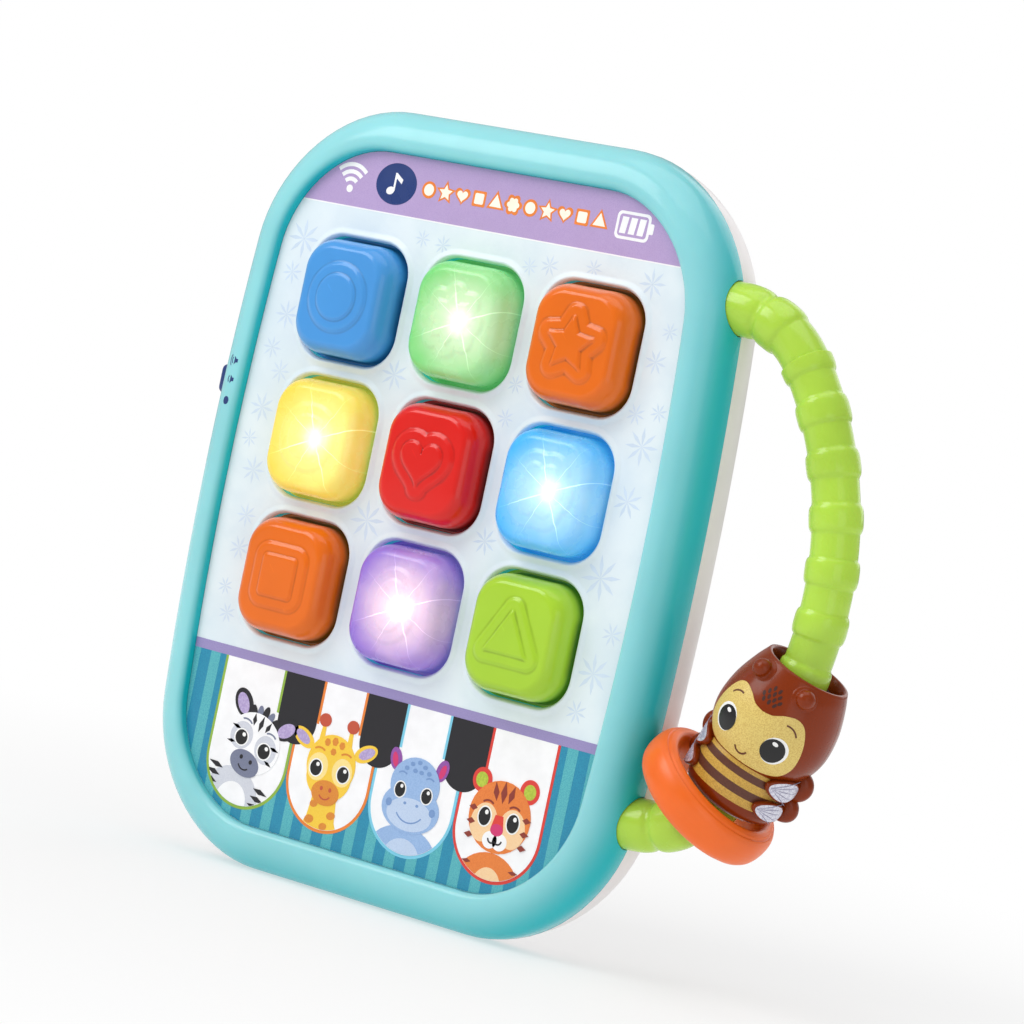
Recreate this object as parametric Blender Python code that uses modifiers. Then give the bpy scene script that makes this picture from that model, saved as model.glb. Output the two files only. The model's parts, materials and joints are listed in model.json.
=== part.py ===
"""Toy tablet: a rounded case with nine soft lit buttons, and a beaded handle with a ring and a bee.

The tablet stands upright with its face toward -Y. The origin is on the flat bottom edge, in the
handle's plane. Lengths below are millimetres; meshes are built in metres.
"""

import math

import bmesh
import bpy
from mathutils import Matrix, Vector

MM = 0.001
FINE_MERGE = 0.00001
GAP = 0.3

# Case outline, seen from the front
BODY_W, BODY_H = 160.0, 211.6
CORNER_R = 41.0
SIDE_BOW = 0.072
RISE_RATIO = 1.13
MID_Z = BODY_H / 2
CORNER_STEPS = 6

# Depths, front to back
CREST_Y, FACE_Y = -12.5, -9.5
PANEL_T, DECK_T = 1.2, 2.0
DECK_Y = FACE_Y + PANEL_T + GAP
DECK_BACK_Y = DECK_Y + DECK_T
FLAT_WALL_Y, SEAM_Y, BACK_Y = -2.5, 1.0, 17.5
BEZEL_W, CREST_IN = 10.5, 8.6
REAR_IN, REAR_ROUND, REAR_FLAT_Y = 0.6, 9.0, 3.5
WALL = 2.0

# Buttons
PITCH, GRID_Z = 38.7, 119.3
WINDOW_HALF, WINDOW_R = (16.0, 16.95), 9.0
CAP_HALF, CAP_TOP_HALF, FLANGE_HALF = (14.75, 15.8), (11.2, 12.6), (17.3, 18.3)
CAP_TOP_Y, CAP_PLATEAU_Y, PLATEAU_R = -17.3, -18.5, 9.8
CAP_TOP_R, CAP_MID_R, CAP_R, FLANGE_R = 6.5, 8.2, 8.6, 9.6
CAP_MID_Y, CAP_WAIST_Y = CAP_TOP_Y + 2.6, FACE_Y - 1.5
FLANGE_Y, FLANGE_T = DECK_BACK_Y + GAP, 1.0
FOOT_R, FOOT_BORE_R, FOOT_Y = 9.5, 8.0, -1.0
CAP_BORE_Y = -14.6

# Board stack
BAFFLE_Y = (-1.9, 1.4)
SHEET_Y = (1.7, 2.2)
BOARD_Y = (2.5, 4.1)
BOARD_HALF_W, BOARD_Z = 56.0, (66.0, 176.0)
TOUCH_PAD_Y, TOUCH_BOARD_Y = (-5.7, -5.3), (-5.0, -3.8)
TOUCH_HALF_W, TOUCH_Z = 54.0, (19.0, 53.0)
KEY_PITCH, PAD_HALF_W = 28.0, 11.0
LED_HALF, LED_DEEP, LED_HOLE_R = 1.5, 1.0, 2.8

# Handle: a main arc, two corner arcs and two straight ends
ARC_X, ARC_Z, ARC_R, ARC_END = 27.0, 108.0, 92.0, 38.5
ELBOW_R = 28.0
NECK_R, BEAD_R, BEAD_STEP = 6.2, 7.0, 8.5
ROD_END_X, ROD_FLANGE_X, ROD_FLANGE_R = 70.1, 71.8, 7.2
ROD_HOLE_R, ROD_HOLE_X = 6.6, (70.8, 86.8)

# Ring and bee, both on the handle
RING_AT, RING_SHIFT, RING_R, RING_BORE_R = -38.5, 2.4, 20.2, 14.0
RING_SIDE = [(RING_BORE_R, 1.5), (14.4, 3.6), (15.0, 5.0), (16.4, 5.8), (18.0, 5.1), (19.4, 3.4)]
BEE_AT, BEE_SHIFT, BEE_TURN = -23.0, 0.9, 10.0
BEE_TOP, BEE_FOOT = 18.6, -21.4
BEE_HOOD = [(11.6, BEE_TOP), (13.4, 14.5), (15.3, 8.5), (16.0, 2.2), (15.2, -2.8), (12.9, -7.4)]
BEE_TORSO = [(12.7, -8.6), (12.7, -18.6), (12.1, -20.2), (10.8, BEE_FOOT)]
BUSH_BORE_R, BUSH_R, BUSH_HALF_L = 8.6, 9.6, 15.4
BEE_BORE_R, BEE_LIP_R, CLEAR_OF_BORE = 10.0, 9.2, 0.06
WING_X, WING_Y, WING_T = 12.9, 2.75, 2.4
WINGS = {"upper_wings": (-8.0, 4.5), "lower_wings": (-14.6, 4.0)}
PETAL_X, PETAL_Y, PETAL_W, PETAL_T = 11.2, -6.0, 2.6, 3.6
PETALS = {"upper_petals": (-9.1, 3.4), "lower_petals": (-15.4, 3.1)}
ANTENNA_AT, ANTENNA_R = (6.6, -11.2, 15.4), 2.3

# Back of the case
SCREW_XZ = [(side * 61.5, z) for z in (155.8, 105.8, 60.0) for side in (-1, 1)]
SCREW_HEAD_Y, SCREW_TIP_Y = 6.9, -4.2
SCREW_HEAD_R, SCREW_R = 2.7, 1.3
BOSS_R = 4.4
SPEAKER_Z, SPEAKER_R, SPEAKER_DEEP, SPEAKER_BACK_R = 150.0, 18.0, 7.0, 9.8
FRAME_T, FRAME_HOLE_R, RIM_STEP, RIM_IN = 1.0, 6.0, 1.8, 2.4
CONE_DEEP, CONE_T, CONE_IN, DOME_R = 4.2, 0.8, 2.8, 4.2
MAGNET_R, MAGNET_T = 9.0, 2.9
GRILLE_HOLE_R, GRILLE_RINGS = 1.4, ((5.2, 6), (10.4, 10))
DOOR_HALF_W, DOOR_Z, DOOR_RECESS = 31.0, (16.0, 50.4), 1.6
DOOR_SCREW_Z, DOOR_BOSS_R = 47.6, 3.0
CELL_R, CELL_HALF_L, CELL_SHIFT = 5.2, 22.0, 4.6
CELL_Y, CELL_Z = 9.7, (25.6, 37.4)
CELL_NUB_R, CELL_NUB_L = 1.9, 1.0
SPRING_R, SPRING_WIRE_R, SPRING_TURNS, SPRING_STEPS = (2.4, 3.6), 0.35, 4, 8
TRAY_X, TRAY_Z, TRAY_Y, TRAY_WALL = 28.5, (18.6, 44.4), 4.1, 1.5
CONTACT_X, CONTACT_Y = (26.9, 27.4), (5.0, 14.5)

# Volume knob in the left wall
KNOB_Z, KNOB_Y = 129.8, -3.4
KNOB_HALF, KNOB_TRAVEL = (2.2, 4.0), 5.0
KNOB_X, KNOB_ORIGIN_X, KNOB_SLOT_X = (-82.0, -75.4), -78.0, (-90.0, -73.0)
KNOB_FLANGE_X, KNOB_FLANGE_HALF = (-76.4, -75.1), (2.8, 9.0)
SWITCH_X, SWITCH_Y = (-74.6, -71.4), (-3.6, 2.0)

# Leads, as points from what they serve to the main board's edge or face
LEAD_R = 0.6
LEAD_Y, LEAD_END_Z = sum(BOARD_Y) / 2, BOARD_Z[0] - 1.1
LEADS = {
    "touch_lead": [(-20, -3.0, 50), (-20, 1, 53), (-20, LEAD_Y, 58), (-20, LEAD_Y, LEAD_END_Z)],
    "battery_lead": [(27, 8, 47), (28, 7.5, 52), (30, LEAD_Y, 60), (30, LEAD_Y, LEAD_END_Z)],
    "speaker_lead": [(13, 7.5, 141), (17, 7.2, 138), (24, 6.2, 132), (26, 5.0, 126)],
    "switch_lead": [(-70, 0, 122), (-67, 1.5, 119), (-60, LEAD_Y, 117), (-57.2, LEAD_Y, 117)],
}

COLOURS = {
    "teal_plastic": ((0.18, 0.62, 0.66), 0.32, 0.0),
    "white_plastic": ((0.86, 0.87, 0.86), 0.38, 0.0),
    "printed_panel": ((0.76, 0.84, 0.92), 0.35, 0.0),
    "blue_rubber": ((0.08, 0.32, 0.74), 0.45, 0.0),
    "green_rubber": ((0.42, 0.72, 0.36), 0.45, 0.0),
    "orange_rubber": ((0.85, 0.22, 0.02), 0.45, 0.0),
    "yellow_rubber": ((0.92, 0.76, 0.16), 0.45, 0.0),
    "red_rubber": ((0.78, 0.05, 0.03), 0.45, 0.0),
    "sky_rubber": ((0.22, 0.58, 0.90), 0.45, 0.0),
    "violet_rubber": ((0.62, 0.48, 0.76), 0.45, 0.0),
    "lime_rubber": ((0.40, 0.66, 0.08), 0.45, 0.0),
    "lime_plastic": ((0.45, 0.70, 0.12), 0.34, 0.0),
    "orange_plastic": ((0.84, 0.16, 0.03), 0.36, 0.0),
    "bee_yellow": ((0.76, 0.55, 0.13), 0.40, 0.0),
    "bee_brown": ((0.18, 0.035, 0.01), 0.32, 0.0),
    "board_green": ((0.03, 0.22, 0.09), 0.50, 0.0),
    "black_plastic": ((0.02, 0.02, 0.022), 0.50, 0.0),
    "baffle_white": ((0.80, 0.80, 0.78), 0.55, 0.0),
    "contact_film": ((0.70, 0.62, 0.35), 0.40, 0.0),
    "led_lens": ((0.90, 0.90, 0.84), 0.20, 0.0),
    "steel": ((0.56, 0.57, 0.58), 0.30, 1.0),
    "cell_wrap": ((0.10, 0.25, 0.14), 0.40, 0.0),
    "paper_cone": ((0.05, 0.05, 0.05), 0.80, 0.0),
    "copper_pad": ((0.72, 0.34, 0.16), 0.40, 1.0),
    "wire_red": ((0.55, 0.03, 0.03), 0.45, 0.0),
    "wire_grey": ((0.30, 0.30, 0.32), 0.45, 0.0),
}


# ---------------------------------------------------------------- scene and materials


def clear_scene():
    for obj in list(bpy.data.objects):
        bpy.data.objects.remove(obj, do_unlink=True)


def new_collection(name):
    collection = bpy.data.collections.new(name)
    bpy.context.scene.collection.children.link(collection)
    return collection


def material(name):
    """The Principled material of this name, made on first use."""
    found = bpy.data.materials.get(name)
    if found:
        return found
    colour, roughness, metallic = COLOURS[name]
    made = bpy.data.materials.new(name)
    made.use_nodes = True
    shader = made.node_tree.nodes["Principled BSDF"]
    shader.inputs["Base Color"].default_value = (*colour, 1.0)
    shader.inputs["Roughness"].default_value = roughness
    shader.inputs["Metallic"].default_value = metallic
    made.diffuse_color = (*colour, 1.0)
    return made


def add_object(name, mesh, finish=None):
    """Links a mesh as a part, or as a cutter when it has no finish."""
    obj = bpy.data.objects.new(name, mesh)
    if finish:
        mesh.materials.append(material(finish))
        mesh.shade_smooth()
        mesh.set_sharp_from_angle(angle=math.radians(35))
        parts.objects.link(obj)
    else:
        obj.hide_render = True
        obj.display_type = "WIRE"
        cutters.objects.link(obj)
    return obj


def mesh_from(name, bm):
    """Turns a bmesh in millimetres into a mesh in metres."""
    bmesh.ops.scale(bm, vec=(MM, MM, MM), verts=bm.verts)
    mesh = bpy.data.meshes.new(name)
    bm.to_mesh(mesh)
    bm.free()
    return mesh


def put_origin(obj, point):
    """Moves the object's origin to a point in millimetres, and leaves its surface in place."""
    place = Vector(point) * MM
    obj.data.transform(Matrix.Translation(-place))
    obj.location = place
    return obj


def hang_on(child, parent):
    bpy.context.view_layer.update()
    child.parent = parent
    child.matrix_parent_inverse = parent.matrix_world.inverted()


def boolean(obj, other, operation="DIFFERENCE"):
    cut = obj.modifiers.new(other.name, "BOOLEAN")
    cut.operation = operation
    cut.solver = "EXACT"
    cut.object = other


# ---------------------------------------------------------------- outlines, seen from the front


def arc_corners(x, z, half_w, half_h, radius, steps):
    """Points of a rounded rectangle centred at (x, z), counterclockwise from the right side."""
    points = []
    for corner in range(4):
        side_x = 1 if corner in (0, 3) else -1
        side_z = 1 if corner < 2 else -1
        for step in range(steps + 1):
            angle = math.radians(90 * (corner + step / steps))
            points.append(
                (
                    x + side_x * (half_w - radius) + radius * math.cos(angle),
                    z + side_z * (half_h - radius) + radius * math.sin(angle),
                )
            )
    return points


def case_outline(inset):
    """The case's outline moved in by inset; its sides bow out toward the middle."""
    half_h = MID_Z - RISE_RATIO * inset
    corners = arc_corners(0, MID_Z, BODY_W / 2 - inset, half_h, CORNER_R - inset, CORNER_STEPS)
    straight = MID_Z - CORNER_R
    row = CORNER_STEPS + 1
    points = []
    for corner in range(4):
        points += corners[corner * row : (corner + 1) * row]
        if corner in (1, 3):
            x = (1 if corner == 3 else -1) * (BODY_W / 2 - inset)
            climb = 1 if corner == 3 else -1
            points += [(x, MID_Z + climb * straight * part) for part in (-0.5, 0.0, 0.5)]
    return [(x * (1 - SIDE_BOW * ((z - MID_Z) / half_h) ** 2), z) for x, z in points]


def circle(x, z, radius, count):
    """Points of a circle that start where a rounded rectangle's points do."""
    return [
        (x + radius * math.cos(math.tau * n / count), z + radius * math.sin(math.tau * n / count))
        for n in range(count)
    ]


def button_places():
    return [(column * PITCH, GRID_Z + row * PITCH) for row in (1, 0, -1) for column in (-1, 0, 1)]


# ---------------------------------------------------------------- solids


def loft(bm, rings, close_start=True, close_end=True):
    """Skins rings of equal length, each a list of points, from the first to the last."""
    rows = [[bm.verts.new(point) for point in ring] for ring in rings]
    for low, high in zip(rows, rows[1:]):
        for n in range(len(low)):
            m = (n + 1) % len(low)
            bm.faces.new((low[n], low[m], high[m], high[n]))
    if close_start:
        bm.faces.new(rows[0])
    if close_end:
        bm.faces.new(list(reversed(rows[-1])))
    bmesh.ops.recalc_face_normals(bm, faces=bm.faces)


def ring_at(outline, y):
    return [(x, y, z) for x, z in outline]


def plate(name, outlines, y_span, finish=None):
    """A flat sheet from 2D outlines: the first is its edge, and the rest are holes in it."""
    curve = bpy.data.curves.new(name, "CURVE")
    curve.dimensions = "2D"
    curve.fill_mode = "BOTH"
    curve.extrude = (y_span[1] - y_span[0]) / 2 * MM
    for outline in outlines:
        spline = curve.splines.new("POLY")
        spline.points.add(len(outline) - 1)
        for point, (x, z) in zip(spline.points, outline):
            point.co = (x * MM, z * MM, 0, 1)
        spline.use_cyclic_u = True
    turn = Matrix.Translation((0, sum(y_span) / 2 * MM, 0)) @ Matrix.Rotation(math.pi / 2, 4, "X")
    return curve_to_mesh(name, curve, turn, finish)


def curve_to_mesh(name, curve, matrix, finish):
    """Makes a welded mesh object of a curve, and removes the curve."""
    drawn = bpy.data.objects.new(name, curve)
    parts.objects.link(drawn)
    bpy.context.view_layer.update()
    mesh = bpy.data.meshes.new_from_object(drawn.evaluated_get(bpy.context.evaluated_depsgraph_get()))
    bpy.data.objects.remove(drawn)
    bm = bmesh.new()
    bm.from_mesh(mesh)
    bmesh.ops.remove_doubles(bm, verts=bm.verts, dist=FINE_MERGE)
    bmesh.ops.transform(bm, matrix=matrix, verts=bm.verts)
    bmesh.ops.recalc_face_normals(bm, faces=bm.faces)
    bm.to_mesh(mesh)
    bm.free()
    mesh.materials.clear()
    return add_object(name, mesh, finish)


def tube(name, points, radii, finish, resolution=2):
    """A round bar along points, with a radius at each point."""
    curve = bpy.data.curves.new(name, "CURVE")
    curve.dimensions = "3D"
    curve.bevel_depth = MM
    curve.bevel_resolution = resolution
    curve.use_fill_caps = True
    spline = curve.splines.new("POLY")
    spline.points.add(len(points) - 1)
    for point, place, radius in zip(spline.points, points, radii):
        point.co = (*(Vector(place) * MM), 1)
        point.radius = radius
    return curve_to_mesh(name, curve, Matrix(), finish)


def add_box(bm, x_span, y_span, z_span):
    spans = (x_span, y_span, z_span)
    middle = Vector([(low + high) / 2 for low, high in spans])
    size = Matrix.Diagonal([high - low for low, high in spans] + [1])
    bmesh.ops.create_cube(bm, size=1, matrix=Matrix.Translation(middle) @ size)


def add_cylinder(bm, x, z, y_span, radius, segments=16, end_radius=None):
    """A cylinder or cone along Y, from radius at the first y to end_radius at the second."""
    middle = Matrix.Translation((x, sum(y_span) / 2, z))
    bmesh.ops.create_cone(
        bm,
        cap_ends=True,
        segments=segments,
        radius1=radius,
        radius2=radius if end_radius is None else end_radius,
        depth=abs(y_span[1] - y_span[0]),
        matrix=middle @ Matrix.Rotation(-math.pi / 2, 4, "X"),
    )


def box(name, x_span, y_span, z_span, finish=None, bevel=0.0):
    bm = bmesh.new()
    add_box(bm, x_span, y_span, z_span)
    obj = add_object(name, mesh_from(name, bm), finish)
    if bevel:
        rounding = obj.modifiers.new("edges", "BEVEL")
        rounding.width = bevel * MM
        rounding.segments = 2
    return obj


def cylinder(name, x, z, y_span, radius, finish=None, segments=16):
    bm = bmesh.new()
    add_cylinder(bm, x, z, y_span, radius, segments)
    return add_object(name, mesh_from(name, bm), finish)


def turned(name, profile, matrix, finish, steps, closed=False):
    """A profile of (radius, height) points turned about local Z; it runs down its outer side."""
    bm = bmesh.new()
    rim = [bm.verts.new((radius, 0, height)) for radius, height in profile]
    for start, end in zip(rim, rim[1:] + rim[:1] if closed else rim[1:]):
        bm.edges.new((start, end))
    obj = add_object(name, mesh_from(name, bm), finish)
    obj.matrix_world = matrix
    screw = obj.modifiers.new("turn", "SCREW")
    screw.axis = "Z"
    screw.steps = steps
    screw.render_steps = steps
    screw.use_merge_vertices = True
    screw.merge_threshold = FINE_MERGE
    screw.use_smooth_shade = True
    return obj


# ---------------------------------------------------------------- places on the handle


def on_arc(angle, shift=0.0):
    """Frame at an angle on the main arc: local Z along the rod, X outward, Y world Y; in metres."""
    turn = math.radians(angle)
    outward = Vector((math.cos(turn), 0, math.sin(turn)))
    along = Vector((-math.sin(turn), 0, math.cos(turn)))
    place = Vector((ARC_X, 0, ARC_Z)) + outward * (ARC_R - shift)
    frame = Matrix((outward, (0, 1, 0), along)).transposed().to_4x4()
    return Matrix.Translation(place * MM) @ frame


def bead_radius(angle):
    """Bar radius at an angle: narrow necks, with a bead between each two."""
    swell = 0.5 - 0.5 * math.cos(math.tau * angle / BEAD_STEP)
    return NECK_R + (BEAD_R - NECK_R) * math.sqrt(swell)


def handle_path():
    """Points and radii of the bar, from the lower end in the case to the upper end."""
    half = []
    count = round(ARC_END / BEAD_STEP * 4)
    for n in range(count + 1):
        angle = ARC_END * n / count
        turn = math.radians(angle)
        half.append((ARC_X + ARC_R * math.cos(turn), ARC_R * math.sin(turn), bead_radius(angle)))
    reach = ARC_R - ELBOW_R
    elbow_x = ARC_X + reach * math.cos(math.radians(ARC_END))
    elbow_z = reach * math.sin(math.radians(ARC_END))
    for n in range(1, 8):
        angle = ARC_END + (90 - ARC_END) * n / 7
        turn = math.radians(angle)
        swell = max(0.0, 1 - ((n - 4) / 2.2) ** 2)
        radius = NECK_R + (BEAD_R - NECK_R) * swell
        half.append((elbow_x + ELBOW_R * math.cos(turn), elbow_z + ELBOW_R * math.sin(turn), radius))
    top = half[-1][1]
    half.append((ROD_FLANGE_X + GAP, top, NECK_R))
    half.append((ROD_FLANGE_X, top, ROD_FLANGE_R))
    half.append((ROD_END_X, top, ROD_FLANGE_R))
    full = [(x, -z, radius) for x, z, radius in reversed(half[1:])] + half
    return [(x, 0, ARC_Z + z) for x, z, radius in full], [radius for x, z, radius in full]


def rod_end_heights():
    heights = [point[2] for point in handle_path()[0]]
    return min(heights), max(heights)


# ---------------------------------------------------------------- case


def shell(name, profile, finish):
    """A case half: a closed face and the wall around it, thickened inward."""
    bm = bmesh.new()
    loft(bm, [ring_at(case_outline(inset), y) for inset, y in profile], close_end=False)
    front = profile[0][1] < profile[-1][1]
    face = max(bm.faces, key=lambda f: len(f.verts))
    if (face.normal.y > 0) == front:
        bmesh.ops.reverse_faces(bm, faces=bm.faces)
    obj = add_object(name, mesh_from(name, bm), finish)
    wall = obj.modifiers.new("wall", "SOLIDIFY")
    wall.thickness = WALL * MM
    wall.offset = -1
    wall.use_even_offset = True
    return obj


def ellipse_profile(inset, y, along, deep, steps, start=0):
    """Quarter ellipse of (inset, y) points, from its crest to the side wall."""
    turns = [math.radians(90 * n / steps) for n in range(start, steps + 1)]
    return [(inset - along * math.sin(t), y + deep * math.cos(t)) for t in turns]


def rod_holes(name):
    bm = bmesh.new()
    middle, depth = sum(ROD_HOLE_X) / 2, ROD_HOLE_X[1] - ROD_HOLE_X[0]
    for height in rod_end_heights():
        place = Matrix.Translation((middle, 0, height)) @ Matrix.Rotation(math.pi / 2, 4, "Y")
        bmesh.ops.create_cone(
            bm, cap_ends=True, segments=20, radius1=ROD_HOLE_R, radius2=ROD_HOLE_R, depth=depth, matrix=place
        )
    return add_object(name, mesh_from(name, bm))


def window_cutter():
    bm = bmesh.new()
    for x, z in button_places():
        outline = arc_corners(x, z, *WINDOW_HALF, WINDOW_R, 4)
        loft(bm, [ring_at(outline, FACE_Y - 5), ring_at(outline, DECK_BACK_Y + 1)])
    return add_object("window_cutter", mesh_from("window_cutter", bm))


def boss_bodies(name, y_span, radius):
    bm = bmesh.new()
    for x, z in SCREW_XZ:
        add_cylinder(bm, x, z, y_span, radius, 12)
    return add_object(name, mesh_from(name, bm))


def make_front_housing():
    profile = [(BEZEL_W, DECK_Y), (BEZEL_W, CREST_Y + 1.5), (BEZEL_W - 0.8, CREST_Y + 0.4)]
    profile += ellipse_profile(CREST_IN, FLAT_WALL_Y, CREST_IN, CREST_Y - FLAT_WALL_Y, 5)
    profile += [(0, SEAM_Y)]
    case = shell("front_housing", profile, "teal_plastic")
    boolean(case, boss_bodies("front_bosses", (DECK_BACK_Y - 0.6, SEAM_Y), BOSS_R), "UNION")
    boolean(case, boss_bodies("front_boss_holes", (DECK_BACK_Y + 0.6, SEAM_Y + 2), SCREW_R + GAP))
    boolean(case, window_cutter())
    boolean(case, rod_holes("front_rod_holes"))
    slot_z = KNOB_HALF[1] + KNOB_TRAVEL + 0.6
    slot_y = KNOB_HALF[0] + 0.4
    slot = box(
        "knob_slot",
        KNOB_SLOT_X,
        (KNOB_Y - slot_y, KNOB_Y + slot_y),
        (KNOB_Z - slot_z, KNOB_Z + slot_z),
    )
    boolean(case, slot)


def make_rear_housing():
    profile = [(REAR_IN + REAR_ROUND, BACK_Y)]
    profile += ellipse_profile(
        REAR_IN + REAR_ROUND, REAR_FLAT_Y, REAR_ROUND, BACK_Y - REAR_FLAT_Y, 5, start=1
    )
    profile += [(REAR_IN, SEAM_Y + GAP)]
    case = shell("rear_housing", profile, "white_plastic")
    boolean(case, boss_bodies("rear_bosses", (SEAM_Y + GAP, BACK_Y - 1), BOSS_R), "UNION")
    tray_walls = box(
        "tray_walls",
        (-TRAY_X - TRAY_WALL, TRAY_X + TRAY_WALL),
        (TRAY_Y - TRAY_WALL, BACK_Y - 1),
        (TRAY_Z[0] - TRAY_WALL, TRAY_Z[1] + TRAY_WALL),
    )
    boolean(case, tray_walls, "UNION")
    boss_y = (BACK_Y - 10, BACK_Y - DOOR_RECESS - 0.1)
    boolean(case, cylinder("door_boss", 0, DOOR_SCREW_Z, boss_y, DOOR_BOSS_R), "UNION")
    boolean(case, box("tray_room", (-TRAY_X, TRAY_X), (TRAY_Y, BACK_Y + 1), TRAY_Z))
    door_room = box(
        "door_room",
        (-DOOR_HALF_W - GAP, DOOR_HALF_W + GAP),
        (BACK_Y - DOOR_RECESS, BACK_Y + 1),
        (DOOR_Z[0] - GAP, DOOR_Z[1] + GAP),
    )
    boolean(case, door_room)
    boolean(case, boss_bodies("head_wells", (SCREW_HEAD_Y - 1.9, BACK_Y + 1), SCREW_HEAD_R + GAP))
    boolean(case, boss_bodies("rear_boss_holes", (SEAM_Y - 1, SCREW_HEAD_Y), SCREW_R + GAP))
    boolean(case, rod_holes("rear_rod_holes"))
    boolean(case, grille_cutter())
    hole_y = (BACK_Y - 9, BACK_Y)
    boolean(case, cylinder("door_screw_hole", 0, DOOR_SCREW_Z, hole_y, SCREW_R + GAP))


def grille_cutter():
    bm = bmesh.new()
    places = [(0.0, 0.0)]
    for ring, count in GRILLE_RINGS:
        places += circle(0, 0, ring, count)
    for x, z in places:
        add_cylinder(bm, x, SPEAKER_Z + z, (BACK_Y - 4, BACK_Y + 1), GRILLE_HOLE_R, 6)
    return add_object("grille_holes", mesh_from("grille_holes", bm))


def make_face_panel():
    windows = [arc_corners(x, z, *WINDOW_HALF, WINDOW_R, 4) for x, z in button_places()]
    plate(
        "face_panel",
        [case_outline(BEZEL_W + GAP)] + windows,
        (FACE_Y, FACE_Y + PANEL_T),
        "printed_panel",
    )


def make_case_screws():
    profile = [
        (0, SCREW_HEAD_Y),
        (SCREW_HEAD_R, SCREW_HEAD_Y),
        (SCREW_HEAD_R, SCREW_HEAD_Y - 1.5),
        (SCREW_R, SCREW_HEAD_Y - 1.6),
        (SCREW_R, SCREW_TIP_Y + 0.8),
        (0, SCREW_TIP_Y),
    ]
    for number, (x, z) in enumerate(SCREW_XZ, 1):
        turned(f"case_screw_{number}", profile, along_y(x, z), "steel", 10)


def along_y(x, z):
    """Frame with local Z along world Y, so heights in it are depths."""
    return Matrix.Translation((x * MM, 0, z * MM)) @ Matrix.Rotation(-math.pi / 2, 4, "X")


# ---------------------------------------------------------------- buttons


def make_cap(number, x, z, finish):
    """A hollow soft cap: a pillow on a flange, with a round foot that presses the contact sheet."""
    steps = 3
    count = 4 * (steps + 1)
    flange_back = FLANGE_Y + FLANGE_T

    def pillow(half, radius, y):
        return ring_at(arc_corners(x, z, *half, radius, steps), y)

    def round_ring(radius, y):
        return ring_at(turned_half_step(circle(x, z, radius, count)), y)

    mid_half = [(3 * a + b) / 4 for a, b in zip(CAP_HALF, CAP_TOP_HALF)]
    bm = bmesh.new()
    rings = [
        round_ring(PLATEAU_R - 0.6, CAP_PLATEAU_Y),
        round_ring(PLATEAU_R, CAP_TOP_Y),
        pillow(CAP_TOP_HALF, CAP_TOP_R, CAP_TOP_Y),
        pillow(mid_half, CAP_MID_R, CAP_MID_Y),
        pillow(CAP_HALF, CAP_R, CAP_WAIST_Y),
        pillow(CAP_HALF, CAP_R, FLANGE_Y),
        pillow(FLANGE_HALF, FLANGE_R, FLANGE_Y),
        pillow(FLANGE_HALF, FLANGE_R, flange_back),
        round_ring(FOOT_R, flange_back),
        round_ring(FOOT_R, FOOT_Y),
        round_ring(FOOT_BORE_R, FOOT_Y),
        round_ring(FOOT_BORE_R, CAP_BORE_Y),
    ]
    loft(bm, rings)
    cap = add_object(f"button_cap_{number}", mesh_from(f"button_cap_{number}", bm), finish)
    put_origin(cap, (x, FACE_Y, z))


def turned_half_step(points):
    """Points of a circle moved round by half a step, to face a rounded rectangle's points."""
    middle_x = sum(x for x, z in points) / len(points)
    middle_z = sum(z for x, z in points) / len(points)
    turn = math.pi / len(points)
    return [
        (
            middle_x + (x - middle_x) * math.cos(turn) - (z - middle_z) * math.sin(turn),
            middle_z + (x - middle_x) * math.sin(turn) + (z - middle_z) * math.cos(turn),
        )
        for x, z in points
    ]


CAP_FINISHES = ["blue", "green", "orange", "yellow", "red", "sky", "orange", "violet", "lime"]


def make_buttons():
    for number, ((x, z), finish) in enumerate(zip(button_places(), CAP_FINISHES), 1):
        make_cap(number, x, z, finish + "_rubber")
        led_x, led_z = (x - LED_HALF, x + LED_HALF), (z - LED_HALF, z + LED_HALF)
        box(f"led_{number}", led_x, (SHEET_Y[0] - LED_DEEP, SHEET_Y[1]), led_z, "led_lens")


def make_boards():
    edge = arc_corners(0, sum(BOARD_Z) / 2, BOARD_HALF_W, (BOARD_Z[1] - BOARD_Z[0]) / 2, 3, 2)
    plate("main_circuit_board", [edge], BOARD_Y, "board_green")
    foot_holes = [circle(x, z, FOOT_R + 1.5, 16) for x, z in button_places()]
    plate("light_baffle", [edge] + foot_holes, BAFFLE_Y, "baffle_white")
    led_holes = [circle(x, z, LED_HOLE_R, 8) for x, z in button_places()]
    plate("contact_sheet", [edge] + led_holes, SHEET_Y, "contact_film")
    half_h = (TOUCH_Z[1] - TOUCH_Z[0]) / 2
    touch_edge = arc_corners(0, sum(TOUCH_Z) / 2, TOUCH_HALF_W, half_h, 3, 2)
    plate("touch_board", [touch_edge], TOUCH_BOARD_Y, "board_green")
    for number in range(4):
        x = (number - 1.5) * KEY_PITCH
        pad = arc_corners(x, sum(TOUCH_Z) / 2, PAD_HALF_W, half_h - 2, 4, 2)
        plate(f"touch_pad_{number + 1}", [pad], TOUCH_PAD_Y, "copper_pad")


# ---------------------------------------------------------------- speaker, cells, knob and leads


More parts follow.
